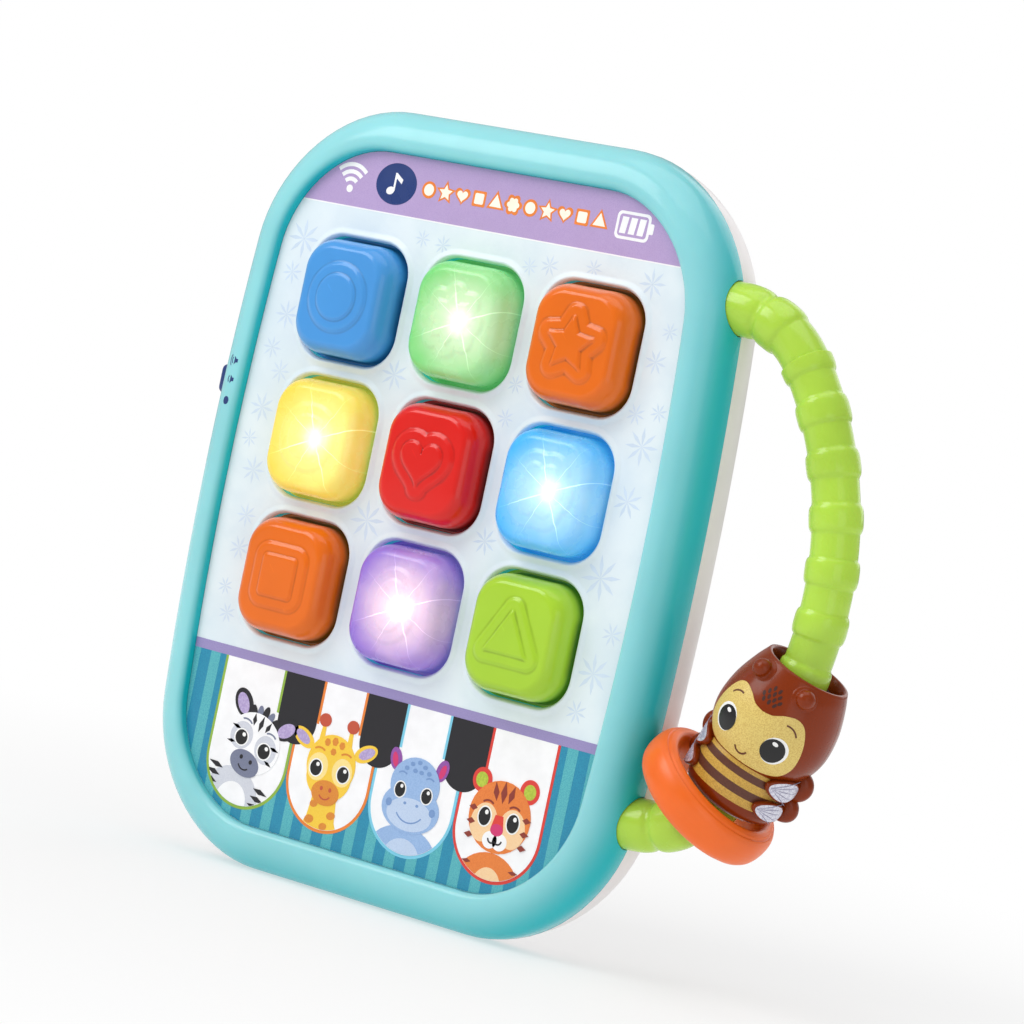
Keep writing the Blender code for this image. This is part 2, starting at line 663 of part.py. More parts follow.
def make_speaker():
    rim_y = BACK_Y - WALL - GAP
    back_y, dome_y = rim_y - SPEAKER_DEEP, rim_y - CONE_DEEP
    rim_r, cone_r = SPEAKER_R - RIM_IN, SPEAKER_R - CONE_IN
    frame = [(SPEAKER_R, rim_y), (SPEAKER_R, rim_y - RIM_STEP), (SPEAKER_BACK_R, back_y)]
    frame += [(FRAME_HOLE_R, back_y), (FRAME_HOLE_R, back_y + FRAME_T)]
    frame += [(SPEAKER_BACK_R - 0.6, back_y + FRAME_T), (rim_r, rim_y - RIM_STEP), (rim_r, rim_y)]
    cone = [(0, dome_y), (DOME_R, dome_y), (cone_r - 0.3, rim_y - 0.2), (cone_r, rim_y - 0.4)]
    cone += [(cone_r, rim_y - 1.0), (DOME_R + 0.4, dome_y - CONE_T), (0, dome_y - CONE_T)]
    place = along_y(0, SPEAKER_Z)
    turned("speaker_frame", frame, place, "steel", 24, closed=True)
    turned("speaker_cone", cone, place, "paper_cone", 24)
    magnet_y = (back_y - GAP - MAGNET_T, back_y - GAP)
    cylinder("speaker_magnet", 0, SPEAKER_Z, magnet_y, MAGNET_R, "steel", 20)


def make_cells():
    """Two cells lie head to tail, each between a flat contact and a spring."""
    shoulder = CELL_HALF_L - CELL_NUB_L
    profile = [(0, CELL_HALF_L), (CELL_NUB_R, CELL_HALF_L), (CELL_NUB_R, shoulder)]
    profile += [(CELL_R, shoulder), (CELL_R, -CELL_HALF_L), (0, -CELL_HALF_L)]
    count = SPRING_TURNS * SPRING_STEPS
    for number, (side, z) in enumerate(zip((1, -1), CELL_Z), 1):
        place = Matrix.Translation(Vector((side * CELL_SHIFT, CELL_Y, z)) * MM)
        turned(
            f"battery_{number}",
            profile,
            place @ Matrix.Rotation(side * math.pi / 2, 4, "Y"),
            "cell_wrap",
            16,
        )
        start = CELL_HALF_L - CELL_SHIFT + GAP + SPRING_WIRE_R + 0.05
        length = CONTACT_X[0] - GAP - SPRING_WIRE_R - 0.05 - start
        coil = []
        for n in range(count + 1):
            turn = math.tau * n / SPRING_STEPS
            radius = SPRING_R[0] + (SPRING_R[1] - SPRING_R[0]) * n / count
            coil.append(
                (
                    -side * (start + length * n / count),
                    CELL_Y + radius * math.cos(turn),
                    z + radius * math.sin(turn),
                )
            )
        radii = [SPRING_WIRE_R] * len(coil)
        tube(f"contact_spring_{number}", coil, radii, "steel", resolution=0)
        flat = sorted((side * CONTACT_X[0], side * CONTACT_X[1]))
        plate_z = (TRAY_Z[0] + TRAY_WALL, TRAY_Z[1] - TRAY_WALL)
        box(f"contact_plate_{number}", flat, CONTACT_Y, plate_z, "steel")


def make_door():
    plate_y = (BACK_Y - DOOR_RECESS + GAP, BACK_Y - 0.1)
    door = box("battery_door", (-DOOR_HALF_W, DOOR_HALF_W), plate_y, DOOR_Z, "white_plastic")
    put_origin(door, (0, BACK_Y, sum(DOOR_Z) / 2))
    head_y = plate_y[0] + 0.6
    boolean(door, cylinder("door_screw_way", 0, DOOR_SCREW_Z, (BACK_Y - 4, BACK_Y + 1), SCREW_R + GAP))
    boolean(door, cylinder("door_head_well", 0, DOOR_SCREW_Z, (head_y, BACK_Y + 1), SCREW_HEAD_R + GAP))
    profile = [
        (0, plate_y[1]),
        (SCREW_HEAD_R, plate_y[1]),
        (SCREW_HEAD_R, head_y + 0.1),
        (SCREW_R, head_y + 0.1),
        (SCREW_R, BACK_Y - 7.8),
        (0, BACK_Y - 8.4),
    ]
    screw = turned("door_screw", profile, along_y(0, DOOR_SCREW_Z), "steel", 10)
    hang_on(screw, door)


def make_volume_knob():
    """A sliding key through the left wall, held by a flange inside, and the switch it drives."""
    bm = bmesh.new()
    half_y, half_z = KNOB_HALF
    add_box(bm, KNOB_X, (KNOB_Y - half_y, KNOB_Y + half_y), (KNOB_Z - half_z, KNOB_Z + half_z))
    knob = add_object("volume_knob", mesh_from("volume_knob", bm), "black_plastic")
    wide_y, wide_z = KNOB_FLANGE_HALF
    flange_z = (KNOB_Z - wide_z, KNOB_Z + wide_z)
    flange = box("knob_flange", KNOB_FLANGE_X, (KNOB_Y - wide_y, KNOB_Y + wide_y), flange_z)
    boolean(knob, flange, "UNION")
    put_origin(knob, (KNOB_ORIGIN_X, KNOB_Y, KNOB_Z))
    box("slide_switch", SWITCH_X, SWITCH_Y, flange_z, "steel")


def make_leads():
    for name, path in LEADS.items():
        finish = "wire_red" if name == "battery_lead" else "wire_grey"
        tube(name, path, [LEAD_R] * len(path), finish, 1)


# ---------------------------------------------------------------- handle, ring and bee


def make_handle():
    points, radii = handle_path()
    tube("handle_rod", points, radii, "lime_plastic")


def make_sliders():
    """The ring and the bee swing about the handle's arc centre, and the bee also turns on its bush."""
    pivot = bpy.data.objects.new("handle_arc_centre", None)
    parts.objects.link(pivot)
    pivot.location = Vector((ARC_X, 0, ARC_Z)) * MM
    profile = RING_SIDE + [(RING_R, 0)] + [(radius, -height) for radius, height in reversed(RING_SIDE)]
    hang_on(turned("ring", profile, on_arc(RING_AT, RING_SHIFT), "orange_plastic", 28, closed=True), pivot)

    bee_place = on_arc(BEE_AT, BEE_SHIFT)
    bush = [(BUSH_BORE_R, BUSH_HALF_L), (BUSH_R, BUSH_HALF_L), (BUSH_R, -BUSH_HALF_L)]
    bush += [(BUSH_BORE_R, -BUSH_HALF_L)]
    hang_on(turned("bee_bush", bush, bee_place, "black_plastic", 24, closed=True), pivot)

    spindle = bpy.data.objects.new("bee_axis", None)
    parts.objects.link(spindle)
    spindle.matrix_world = bee_place @ Matrix.Rotation(math.radians(BEE_TURN), 4, "Z")
    hang_on(spindle, pivot)
    make_bee(spindle)


def bee_profile():
    """Outer side of the hood and the torso from the top down, then back up the bore around the bush."""
    inner = BUSH_HALF_L + 0.4
    bore = [(BEE_LIP_R, BEE_FOOT), (BEE_LIP_R, -inner - GAP), (BEE_BORE_R, -inner)]
    bore += [(BEE_BORE_R, inner), (BEE_LIP_R, inner + GAP), (BEE_LIP_R, BEE_TOP)]
    return BEE_HOOD + BEE_TORSO + bore


def make_bee(spindle):
    """Two halves of one turned body: the face looks along the spindle's -Y.

    Each wing is a petal on the front half and a lobe on the rear half.
    """
    bpy.context.view_layer.update()
    place = spindle.matrix_world.copy()
    front = turned("bee_front_shell", bee_profile(), place, "bee_yellow", 24, closed=True)
    rear = turned("bee_rear_shell", bee_profile(), place, "bee_brown", 24, closed=True)
    far, reach = GAP / 2, 40.0
    for half, side in ((front, 1), (rear, -1)):
        span = sorted((-side * far, side * reach))
        cutter = box(half.name + "_cutter", (-reach, reach), span, (-reach, reach))
        cutter.matrix_world = place
        boolean(half, cutter)
        hang_on(half, spindle)
    for name, (height, radius) in WINGS.items():
        size = (radius, WING_T, radius)
        join_pair(rear, name, (WING_X, WING_Y, height), size, place, 12)
    for name, (height, radius) in PETALS.items():
        size = (PETAL_W, PETAL_T, radius)
        join_pair(front, name, (PETAL_X, PETAL_Y, height), size, place, 12)
    boolean(rear, bush_room(place))
    join_pair(front, "antennae", ANTENNA_AT, [ANTENNA_R] * 3, place, 10)


def bush_room(place):
    """The space the bush turns in, cleared again once the wings are joined."""
    bm = bmesh.new()
    radius = BEE_BORE_R - CLEAR_OF_BORE
    bmesh.ops.create_cone(
        bm, cap_ends=True, segments=24, radius1=radius, radius2=radius, depth=2 * BUSH_HALF_L
    )
    room = add_object("bush_room", mesh_from("bush_room", bm))
    room.matrix_world = place
    return room


def join_pair(obj, name, centre, size, place, segments):
    """Joins two rounded bodies to obj, one each side of its middle."""
    bm = bmesh.new()
    for side in (-1, 1):
        shape = Matrix.Translation((side * centre[0], *centre[1:])) @ Matrix.Diagonal((*size, 1))
        rows = segments // 2 + 1
        bmesh.ops.create_uvsphere(bm, u_segments=segments, v_segments=rows, radius=1, matrix=shape)
    pair = add_object(name, mesh_from(name, bm))
    pair.matrix_world = place
    boolean(obj, pair, "UNION")


clear_scene()
parts = new_collection("toy_tablet")
cutters = new_collection("cutters")

make_front_housing()
make_rear_housing()
make_face_panel()
make_case_screws()
make_buttons()
make_boards()
make_speaker()
make_cells()
make_door()
make_volume_knob()
make_leads()
make_handle()
make_sliders()
bpy.context.view_layer.update()
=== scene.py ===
import json
import math

import bmesh
import bpy
import numpy as np
from mathutils import Matrix, Vector
from mathutils.geometry import delaunay_2d_cdt


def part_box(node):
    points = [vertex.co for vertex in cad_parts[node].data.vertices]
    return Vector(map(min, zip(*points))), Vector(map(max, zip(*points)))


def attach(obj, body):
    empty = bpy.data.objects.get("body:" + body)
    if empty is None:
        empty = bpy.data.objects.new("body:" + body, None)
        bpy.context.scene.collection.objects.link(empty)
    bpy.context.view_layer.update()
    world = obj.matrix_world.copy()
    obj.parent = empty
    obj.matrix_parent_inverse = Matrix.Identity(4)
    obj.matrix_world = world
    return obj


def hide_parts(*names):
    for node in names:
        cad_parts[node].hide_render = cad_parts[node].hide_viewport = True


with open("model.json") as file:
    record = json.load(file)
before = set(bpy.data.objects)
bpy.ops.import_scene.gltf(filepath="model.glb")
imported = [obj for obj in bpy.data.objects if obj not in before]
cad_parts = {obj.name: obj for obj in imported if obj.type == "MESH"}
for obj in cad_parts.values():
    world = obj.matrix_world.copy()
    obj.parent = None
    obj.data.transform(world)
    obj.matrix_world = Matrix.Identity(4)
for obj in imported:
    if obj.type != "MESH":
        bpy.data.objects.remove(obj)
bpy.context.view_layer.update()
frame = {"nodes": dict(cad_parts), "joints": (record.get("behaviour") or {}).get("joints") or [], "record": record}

# Fine surfaces and finishes of a toy tablet that stands upright with its face toward -Y.
# Lengths are millimetres, and become metres when a mesh is made. Outlines on the face are (x, z) points,
# and prints on a curved surface are drawn in (u, v), with w for the height above it.

MM = 0.001


def box_mm(node):
    """Lowest and highest corner of a CAD node, in millimetres."""
    low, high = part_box(node)
    return low / MM, high / MM


# ---------------------------------------------------------------- sizes from the frame

CASE_LOW, CASE_HIGH = box_mm("front_housing")
PANEL_LOW, PANEL_HIGH = box_mm("face_panel")
CASE_W, CASE_H = CASE_HIGH.x - CASE_LOW.x, CASE_HIGH.z - CASE_LOW.z
MID_Z = CASE_H / 2
CREST_Y, SEAM_Y = CASE_LOW.y, CASE_HIGH.y
FACE_Y, PANEL_BACK_Y = PANEL_LOW.y, PANEL_HIGH.y
BACK_Y = box_mm("rear_housing")[1].y
CAPS = [box_mm(f"button_cap_{number}") for number in range(1, 10)]
CAP_CENTRES = [((low.x + high.x) / 2, (low.z + high.z) / 2) for low, high in CAPS]
CAP_FRONT_Y, CAP_FOOT_Y = CAPS[0][0].y, CAPS[0][1].y
ARC_CENTRE = Vector(next(j["pos_m"] for j in frame["joints"] if j["name"] == "ring_slide")) / MM

# Case
CORNER_R, SIDE_BOW, RISE_RATIO = 41.0, 0.072, 1.13
BEZEL_W, CREST_IN, FLAT_WALL_Y = 10.5, 8.6, -2.5
DECK_Y, DECK_BACK_Y = -8.0, -6.0
REAR_IN, REAR_ROUND, REAR_FLAT_Y = 0.6, 9.0, 3.5
WALL, GAP = 2.0, 0.3
WINDOW_HALF, WINDOW_R = (16.0, 16.95), 9.0
RIM_W, RIM_RISE = 2.6, 0.55
ROD_HOLE_R = 7.3

# Caps
CAP_HALF, CAP_TOP_HALF, FLANGE_HALF = (14.75, 15.8), (11.2, 12.6), (17.3, 18.3)
CAP_SHOULDER_Y, CAP_WAIST_Y = -17.3, -11.0
FLANGE_Y, FLANGE_BACK_Y = -5.7, -4.7
FOOT_R, FOOT_BORE_R, CAP_BORE_Y = 9.5, 8.0, -14.6
SIGN_SPREAD, SIGN_RAMP = 3.1, 1.05
LAMP_SHIFT = 3.4  # how far the brightest spot of a lit cap lies to the right of its middle

# Handle, ring and bee
ARC_R, ARC_END, ELBOW_R = 92.0, 38.5, 28.0
NECK_R, BEAD_R, BEAD_STEP = 6.2, 7.0, 8.5
RING_AT, RING_SHIFT, RING_R, RING_BORE_R = -38.5, 2.4, 20.2, 14.0
BEE_AT, BEE_SHIFT, BEE_TURN = -23.0, 0.9, 10.0
BEE_TOP, BEE_FOOT, TORSO_R = 18.6, -21.4, 12.7
HOOD_R = [(11.6, BEE_TOP), (13.4, 14.5), (15.3, 8.5), (16.0, 2.2), (15.2, -2.8), (12.9, -7.4)]

# Print on the face
BAND_Z, LINE_Z = 183.3, (55.7, 58.4)
KEY_PITCH, KEY_HALF_W, KEY_HEAD_Z = 28.3, 13.2, 29.6
INK, INK_SINK = 0.03, 0.06  # thickness of one printed layer, and how deep it is let in
FLAKE_SEED, FLAKE_TRIES = 5, 1600
STRIPES, STRIPE_PITCH, STRIPE_W = 10, 7.1, 3.4
SIGN_COUNT, SIGN_START, SIGN_RUN = 11, -21.5, 56.0

# Camera, in degrees and millimetres
VIEW_AZIMUTH, VIEW_ELEVATION, VIEW_ROLL = 33.889, 1.907, 11.889
VIEW_TARGET, VIEW_DISTANCE, VIEW_LENS = (26.32, -9.5, 111.86), 1018.14, 135.97

# Lights: name, place and size in metres, and power in watts
WORLD_LIGHT = 0.42
LIGHTS = [
    ("key", (-0.55, -0.75, 0.85), 0.7, 7.0),
    ("top", (0.1, -0.1, 1.0), 0.8, 3.0),
    ("fill", (0.9, -0.6, 0.25), 0.6, 1.2),
    ("back", (0.1, 0.9, 0.6), 0.8, 2.0),
]


# ---------------------------------------------------------------- materials


def srgb(red, green, blue):
    """Linear colour of an 8-bit display colour."""

    def channel(value):
        value /= 255
        return value / 12.92 if value <= 0.04045 else ((value + 0.055) / 1.055) ** 2.4

    return (channel(red), channel(green), channel(blue), 1.0)


class Shader:
    """A material's node tree, with short ways to add the nodes that the finishes share."""

    def __init__(self, name):
        self.take(bpy.data.materials.new(name))

    @classmethod
    def of(cls, material):
        """The tree of a material that has been made already, to add to."""
        look = cls.__new__(cls)
        look.take(material)
        return look

    def take(self, material):
        self.material = material
        self.material.use_nodes = True
        self.tree = self.material.node_tree
        self.main = self.tree.nodes["Principled BSDF"]
        self.place = self.add("ShaderNodeTexCoord").outputs["Object"]

    def add(self, kind, **settings):
        node = self.tree.nodes.new(kind)
        for key, value in settings.items():
            setattr(node, key, value)
        return node

    def put(self, socket, value):
        if isinstance(value, bpy.types.NodeSocket):
            self.tree.links.new(value, socket)
        else:
            socket.default_value = value

    def set(self, name, value):
        """Sets or links an input of the material's main shader."""
        self.put(self.main.inputs[name], value)

    def noise(self, size, detail=3.0):
        node = self.add("ShaderNodeTexNoise")
        self.put(node.inputs["Vector"], self.place)
        node.inputs["Scale"].default_value = 1 / (size * MM)
        node.inputs["Detail"].default_value = detail
        return node.outputs[0]

    def cells(self, size, feature="F1"):
        node = self.add("ShaderNodeTexVoronoi", feature=feature)
        self.put(node.inputs["Vector"], self.place)
        node.inputs["Scale"].default_value = 1 / (size * MM)
        return node.outputs["Distance"]

    def spread(self, value, low, high, to_low=0.0, to_high=1.0):
        node = self.add("ShaderNodeMapRange", interpolation_type="SMOOTHSTEP")
        for socket, number in zip(node.inputs, (value, low, high, to_low, to_high)):
            self.put(socket, number)
        return node.outputs[0]

    def mix(self, factor, first, second):
        node = self.add("ShaderNodeMix", data_type="RGBA")
        self.put(node.inputs[0], factor)
        self.put(node.inputs[6], first)
        self.put(node.inputs[7], second)
        return node.outputs[2]

    def bump(self, height, depth, before=None):
        node = self.add("ShaderNodeBump")
        node.inputs["Distance"].default_value = depth * MM
        self.put(node.inputs["Height"], height)
        if before:
            self.put(node.inputs["Normal"], before)
        return node.outputs[0]

    def distance_on_face(self, x, z):
        """Distance from a line through the face at (x, z), in metres."""
        flat = self.add("ShaderNodeVectorMath", operation="MULTIPLY")
        self.put(flat.inputs[0], self.place)
        flat.inputs[1].default_value = (1, 0, 1)
        reach = self.add("ShaderNodeVectorMath", operation="DISTANCE")
        self.put(reach.inputs[0], flat.outputs[0])
        reach.inputs[1].default_value = (x * MM, 0, z * MM)
        return reach.outputs["Value"]

    def glare(self, x, z, turn, thin):
        """A cross of tapering rays through (x, z) on the face, turned by an angle in degrees."""
        shifted = self.add("ShaderNodeVectorMath", operation="SUBTRACT")
        self.put(shifted.inputs[0], self.place)
        shifted.inputs[1].default_value = (x * MM, 0, z * MM)
        spun = self.add("ShaderNodeVectorRotate", rotation_type="Y_AXIS")
        self.put(spun.inputs["Vector"], shifted.outputs[0])
        spun.inputs["Angle"].default_value = math.radians(turn)
        parts = self.add("ShaderNodeSeparateXYZ")
        self.put(parts.inputs[0], spun.outputs[0])
        area = self.math("MULTIPLY", parts.outputs["X"], parts.outputs["Z"])
        return self.spread(self.math("ABSOLUTE", area), 0.0, thin * MM * MM, 1.0, 0.0)

    def math(self, operation, first, second=0.0):
        node = self.add("ShaderNodeMath", operation=operation)
        self.put(node.inputs[0], first)
        self.put(node.inputs[1], second)
        return node.outputs[0]


def shade(colour, factor):
    return (*[min(1.0, part * factor) for part in colour[:3]], 1.0)


def plastic(
    name, colour, rough=0.32, mottle=(22, 0.07), grain=(0.45, 0.006),
    soft=0.0, coat=0.0, metal=0.0, glow=0.0, rubbed=0.25, crease=0.0,
):
    """Moulded plastic or rubber: slight colour drift, uneven gloss, fine grain, paler edges, and on request
    painted shade in concave creases and a painted glow.

    mottle is (size in mm, depth) of the colour drift, and grain is (size in mm, height in mm) of the bumps.
    """
    look = Shader(name)
    base = srgb(*colour)
    drift = look.spread(look.noise(mottle[0]), 0.3, 0.7)
    tone = look.mix(drift, shade(base, 1 - mottle[1]), shade(base, 1 + mottle[1]))
    bend = look.add("ShaderNodeNewGeometry").outputs["Pointiness"]
    # sharp convex edges turn paler
    tone = look.mix(look.spread(bend, 0.52, 0.62, 0.0, rubbed), tone, shade(base, 1.35))
    # painted shade: concave creases darken toward a dark copy of the colour
    if crease:
        tone = look.mix(look.spread(bend, 0.46, 0.497, crease, 0.0), tone, shade(base, 0.3))
    look.set("Base Color", tone)
    gloss = look.spread(look.noise(7, 5.0), 0.3, 0.7, rough - 0.05, rough + 0.06)
    look.set("Roughness", gloss)
    look.set("Normal", look.bump(look.noise(grain[0]), grain[1]))
    look.set("Metallic", metal)
    look.set("Coat Weight", coat)
    look.set("Coat Roughness", 0.1)
    look.set("Specular IOR Level", 0.2 if coat else 0.5)
    # painted light: with glow above zero the plastic emits its own colour, as if lit
    look.set("Emission Color", tone)
    look.set("Emission Strength", glow)
    if soft:
        look.set("Subsurface Weight", soft)
        look.set("Subsurface Scale", 2.5 * MM)
        look.set("Subsurface Radius", (1.0, 0.6, 0.4))
    return look.material


def speckled(name, colour, fleck, size=0.32, rough=0.36, amount=0.55):
    """Printed or pearl colour with fine flecks of a second colour."""
    look = Shader(name)
    grains = look.spread(look.noise(size, 2.0), 0.42, 0.62, 0.0, amount)
    tone = look.mix(grains, srgb(*colour), srgb(*fleck))
    drift = look.spread(look.noise(9), 0.35, 0.65, 0.0, 0.3)
    look.set("Base Color", look.mix(drift, tone, shade(srgb(*colour), 0.9)))
    look.set("Roughness", look.spread(look.noise(3), 0.3, 0.7, rough - 0.04, rough + 0.05))
    look.set("Normal", look.bump(look.noise(size, 2.0), 0.004))
    return look.material


def ink(name, colour, rough=0.42):
    """Printed ink: nearly even, with a faint paper-like drift."""
    return plastic(name, colour, rough, mottle=(5, 0.04), grain=(0.25, 0.002))


def puffed_sheet(name, colour, shadow):
    """The face sheet: fine creases and a soft cloudy tint."""
    look = Shader(name)
    cloud = look.spread(look.noise(14, 4.0), 0.35, 0.65, 0.0, 0.5)
    look.set("Base Color", look.mix(cloud, srgb(*colour), srgb(*shadow)))
    look.set("Roughness", look.spread(look.noise(5), 0.3, 0.7, 0.36, 0.5))
    creases = look.bump(look.cells(3.2, "DISTANCE_TO_EDGE"), 0.05)
    look.set("Normal", look.bump(look.noise(1.1, 4.0), 0.05, creases))
    return look.material


def cap_rubber(name, colour):
    """Glossy silicone, with painted shade darkening the creases round its raised sign."""
    return plastic(name, colour, 0.34, mottle=(22, 0.03), soft=0.08, coat=0.5, crease=0.8)


def lit_rubber(name, colour, pale, centre, strength):
    """A cap lit from behind: white at the lamp, falling to the cap's own colour at its edge."""
    look = Shader(name)
    centre = (centre[0] + LAMP_SHIFT, centre[1])
    ripple = look.spread(look.noise(6), 0.3, 0.7, -0.0006, 0.0006)
    away = look.math("ADD", look.distance_on_face(*centre), ripple)
    soft_core = look.spread(away, 0.0, 9.5 * MM, 1.0, 0.0)
    core = look.math("MULTIPLY", soft_core, soft_core)
    wide = look.spread(away, 5.0 * MM, 20.0 * MM, 1.0, 0.0)
    rays = look.math("MAXIMUM", look.glare(*centre, 24, 2.2), look.glare(*centre, 61, 0.9))
    hot = look.math("MAXIMUM", core, look.math("MULTIPLY", rays, look.math("MULTIPLY", wide, 0.75)))
    body = look.mix(wide, srgb(*colour), srgb(*pale))
    look.set("Base Color", body)
    look.set("Emission Color", look.mix(hot, body, (1, 1, 1, 1)))
    look.set("Emission Strength", look.math("ADD", look.math("MULTIPLY", hot, strength), 0.16))
    look.set("Roughness", look.spread(look.noise(7), 0.3, 0.7, 0.22, 0.34))
    look.set("Normal", look.bump(look.noise(0.5), 0.006))
    look.set("Subsurface Weight", 0.2)
    look.set("Subsurface Scale", 3 * MM)
    return look.material


def moulded_case(name, deep, pale):
    """Glossy translucent plastic with painted light: paler where it faces up and to the front left, toward the key
    light, deeper teal as painted shade elsewhere, with a faint painted glow.
    """
    material = plastic(name, pale, 0.24, mottle=(22, 0.03), coat=0.25, glow=0.06)
    look = Shader.of(material)
    facing = look.add("ShaderNodeVectorMath", operation="DOT_PRODUCT")
    look.put(facing.inputs[0], look.add("ShaderNodeNewGeometry").outputs["Normal"])
    facing.inputs[1].default_value = (-0.5, -0.7, 0.5)
    mottled = look.main.inputs["Base Color"].links[0].from_socket
    # painted light: the lit share grows where the surface faces the key light
    lit_share = look.spread(facing.outputs["Value"], -0.55, 0.9)
    tone = look.mix(lit_share, srgb(*deep), mottled)
    look.set("Base Color", tone)
    look.set("Emission Color", tone)
    look.set("Roughness", look.spread(look.noise(7), 0.3, 0.7, 0.22, 0.26))
    look.set("Subsurface Weight", 0.1)
    look.set("Subsurface Scale", 2 * MM)
    return material


def foil(name, colour, vein):
    """Wrinkled silver film for the wings."""
    look = Shader(name)
    fold = look.cells(1.3, "DISTANCE_TO_EDGE")
    line = look.spread(fold, 0.0, 0.12, 0.55, 0.0)
    look.set("Base Color", look.mix(line, srgb(*colour), srgb(*vein)))
    look.set("Roughness", look.spread(look.noise(0.8), 0.3, 0.7, 0.2, 0.42))
    look.set("Normal", look.bump(fold, 0.12))
    look.set("Metallic", 0.25)
    return look.material


def circuit(name, colour, trace):
    look = Shader(name)
    tracks = look.spread(look.cells(2.4, "DISTANCE_TO_EDGE"), 0.03, 0.06)
    look.set("Base Color", look.mix(tracks, srgb(*trace), srgb(*colour)))
    look.set("Normal", look.bump(tracks, 0.03))
    look.set("Roughness", 0.45)
    return look.material


# Each finish: the function that makes it, its values, and a dict of its settings if it has any
FINISHES = {
    # teal case: a shaded and a lit copy of its colour, mixed by which way the surface faces (painted light and
    # shade)
    "teal": (moulded_case, (0, 178, 186), (142, 210, 215)),
    # the deck's glow is painted light, keeping the wells round the caps bright teal instead of shaded
    "teal_deep": (plastic, (22, 178, 186), 0.3, dict(glow=0.3)),
    "rear_white": (plastic, (238, 233, 233), 0.34, dict(mottle=(9, 0.02), grain=(0.35, 0.012), rubbed=0.0)),
    "sheet": (puffed_sheet, (230, 241, 246), (212, 228, 238)),
    "flake": (ink, (203, 218, 237)),
    "purple": (speckled, (187, 163, 209), (172, 148, 200)),
    "violet_line": (speckled, (158, 146, 196), (140, 128, 184)),
    "stripe_deep": (speckled, (34, 146, 178), (24, 124, 166), dict(amount=0.7)),
    "stripe_light": (speckled, (92, 186, 192), (60, 160, 180), dict(amount=0.8)),
    "white_ink": (ink, (248, 248, 250)),
    "black_ink": (ink, (22, 20, 27)),
    "navy": (ink, (30, 56, 116), 0.3),
    "cream_ink": (ink, (255, 246, 224)),
    "olive": (ink, (140, 176, 62)),
    "amber": (ink, (232, 126, 44)),
    "pale_blue": (ink, (120, 200, 226)),
    "red_ink": (ink, (216, 58, 48)),
    "grey_fur": (speckled, (214, 217, 226), (200, 203, 216)),
    "slate": (speckled, (122, 128, 152), (104, 110, 138)),
    "lavender": (speckled, (176, 156, 206), (214, 200, 232), dict(size=0.6)),
    "giraffe": (speckled, (250, 208, 66), (246, 196, 46)),
    "giraffe_pale": (speckled, (255, 230, 150), (252, 220, 128)),
    "spot": (speckled, (226, 142, 48), (212, 124, 40)),
    "horn": (ink, (190, 78, 52)),
    "hippo": (speckled, (156, 188, 230), (136, 170, 218)),
    "hippo_pale": (speckled, (196, 214, 240), (178, 200, 232)),
    "hippo_dark": (speckled, (124, 158, 208), (108, 142, 196)),
    "hippo_ear": (speckled, (150, 84, 170), (124, 64, 150)),
    "tiger": (speckled, (236, 132, 56), (224, 112, 44)),
    "tiger_pale": (speckled, (252, 214, 166), (248, 200, 144)),
    "tiger_dark": (ink, (136, 50, 36)),
    "lime_ink": (speckled, (190, 206, 66), (150, 176, 40), dict(size=0.5)),
    "pink": (ink, (206, 50, 110)),
    "lime_rod": (plastic, (178, 218, 72), 0.26, dict(soft=0.15, coat=0.4, grain=(0.6, 0.008))),
    "ring_orange": (plastic, (246, 108, 18), 0.34, dict(soft=0.15, grain=(0.6, 0.01))),
    "bee_brown": (plastic, (130, 46, 2), 0.28, dict(coat=0.15, grain=(0.7, 0.01))),
    # dark brown for the shade inside the forehead's dimples (painted shade)
    "bee_dimple": (plastic, (58, 16, 2), 0.5),
    "bee_face": (speckled, (230, 204, 116), (202, 166, 80), dict(amount=0.75)),
    "bee_gold": (speckled, (212, 170, 70), (176, 128, 48), dict(amount=0.75)),
    "bee_stripe": (speckled, (96, 48, 26), (76, 34, 18), dict(amount=0.7)),
    "bee_line": (ink, (96, 48, 20)),
    "eye_black": (plastic, (8, 8, 10), 0.3, dict(grain=(0.8, 0.001))),
    "eye_white": (plastic, (246, 246, 244), 0.25),
    "wing_foil": (foil, (222, 222, 234), (150, 146, 176)),
    "wing_vein": (ink, (150, 148, 170)),
    "blue_rubber": (cap_rubber, (72, 152, 222)),
    "orange_rubber": (cap_rubber, (232, 108, 0)),
    "red_rubber": (cap_rubber, (222, 20, 8)),
    "lime_rubber": (cap_rubber, (170, 212, 48)),
    "green_rubber": (lit_rubber, (108, 204, 108), (202, 232, 186), CAP_CENTRES[1], 0.6),
    "yellow_rubber": (lit_rubber, (238, 208, 66), (255, 240, 140), CAP_CENTRES[3], 0.9),
    "sky_rubber": (lit_rubber, (40, 170, 240), (174, 222, 250), CAP_CENTRES[5], 0.7),
    "violet_rubber": (lit_rubber, (128, 92, 200), (236, 206, 228), CAP_CENTRES[7], 0.7),
    "board": (circuit, (24, 96, 58), (48, 132, 84)),
    "copper": (plastic, (200, 130, 82), 0.3, dict(metal=1.0)),
    "steel": (plastic, (176, 178, 182), 0.26, dict(mottle=(3, 0.06), grain=(0.2, 0.006), metal=1.0)),
    "baffle": (plastic, (226, 226, 220), 0.55),
    "film": (speckled, (206, 190, 140), (190, 172, 120)),
    "lamp": (plastic, (246, 244, 232), 0.15, dict(coat=0.5)),
    "cell": (plastic, (70, 112, 84), 0.3, dict(coat=0.3)),
    "paper": (speckled, (44, 44, 46), (28, 28, 30), dict(rough=0.7)),
    "dark": (plastic, (34, 30, 30), 0.42),
    "wire_grey": (plastic, (122, 122, 128), 0.4),
    "wire_red": (plastic, (176, 40, 36), 0.4),
}


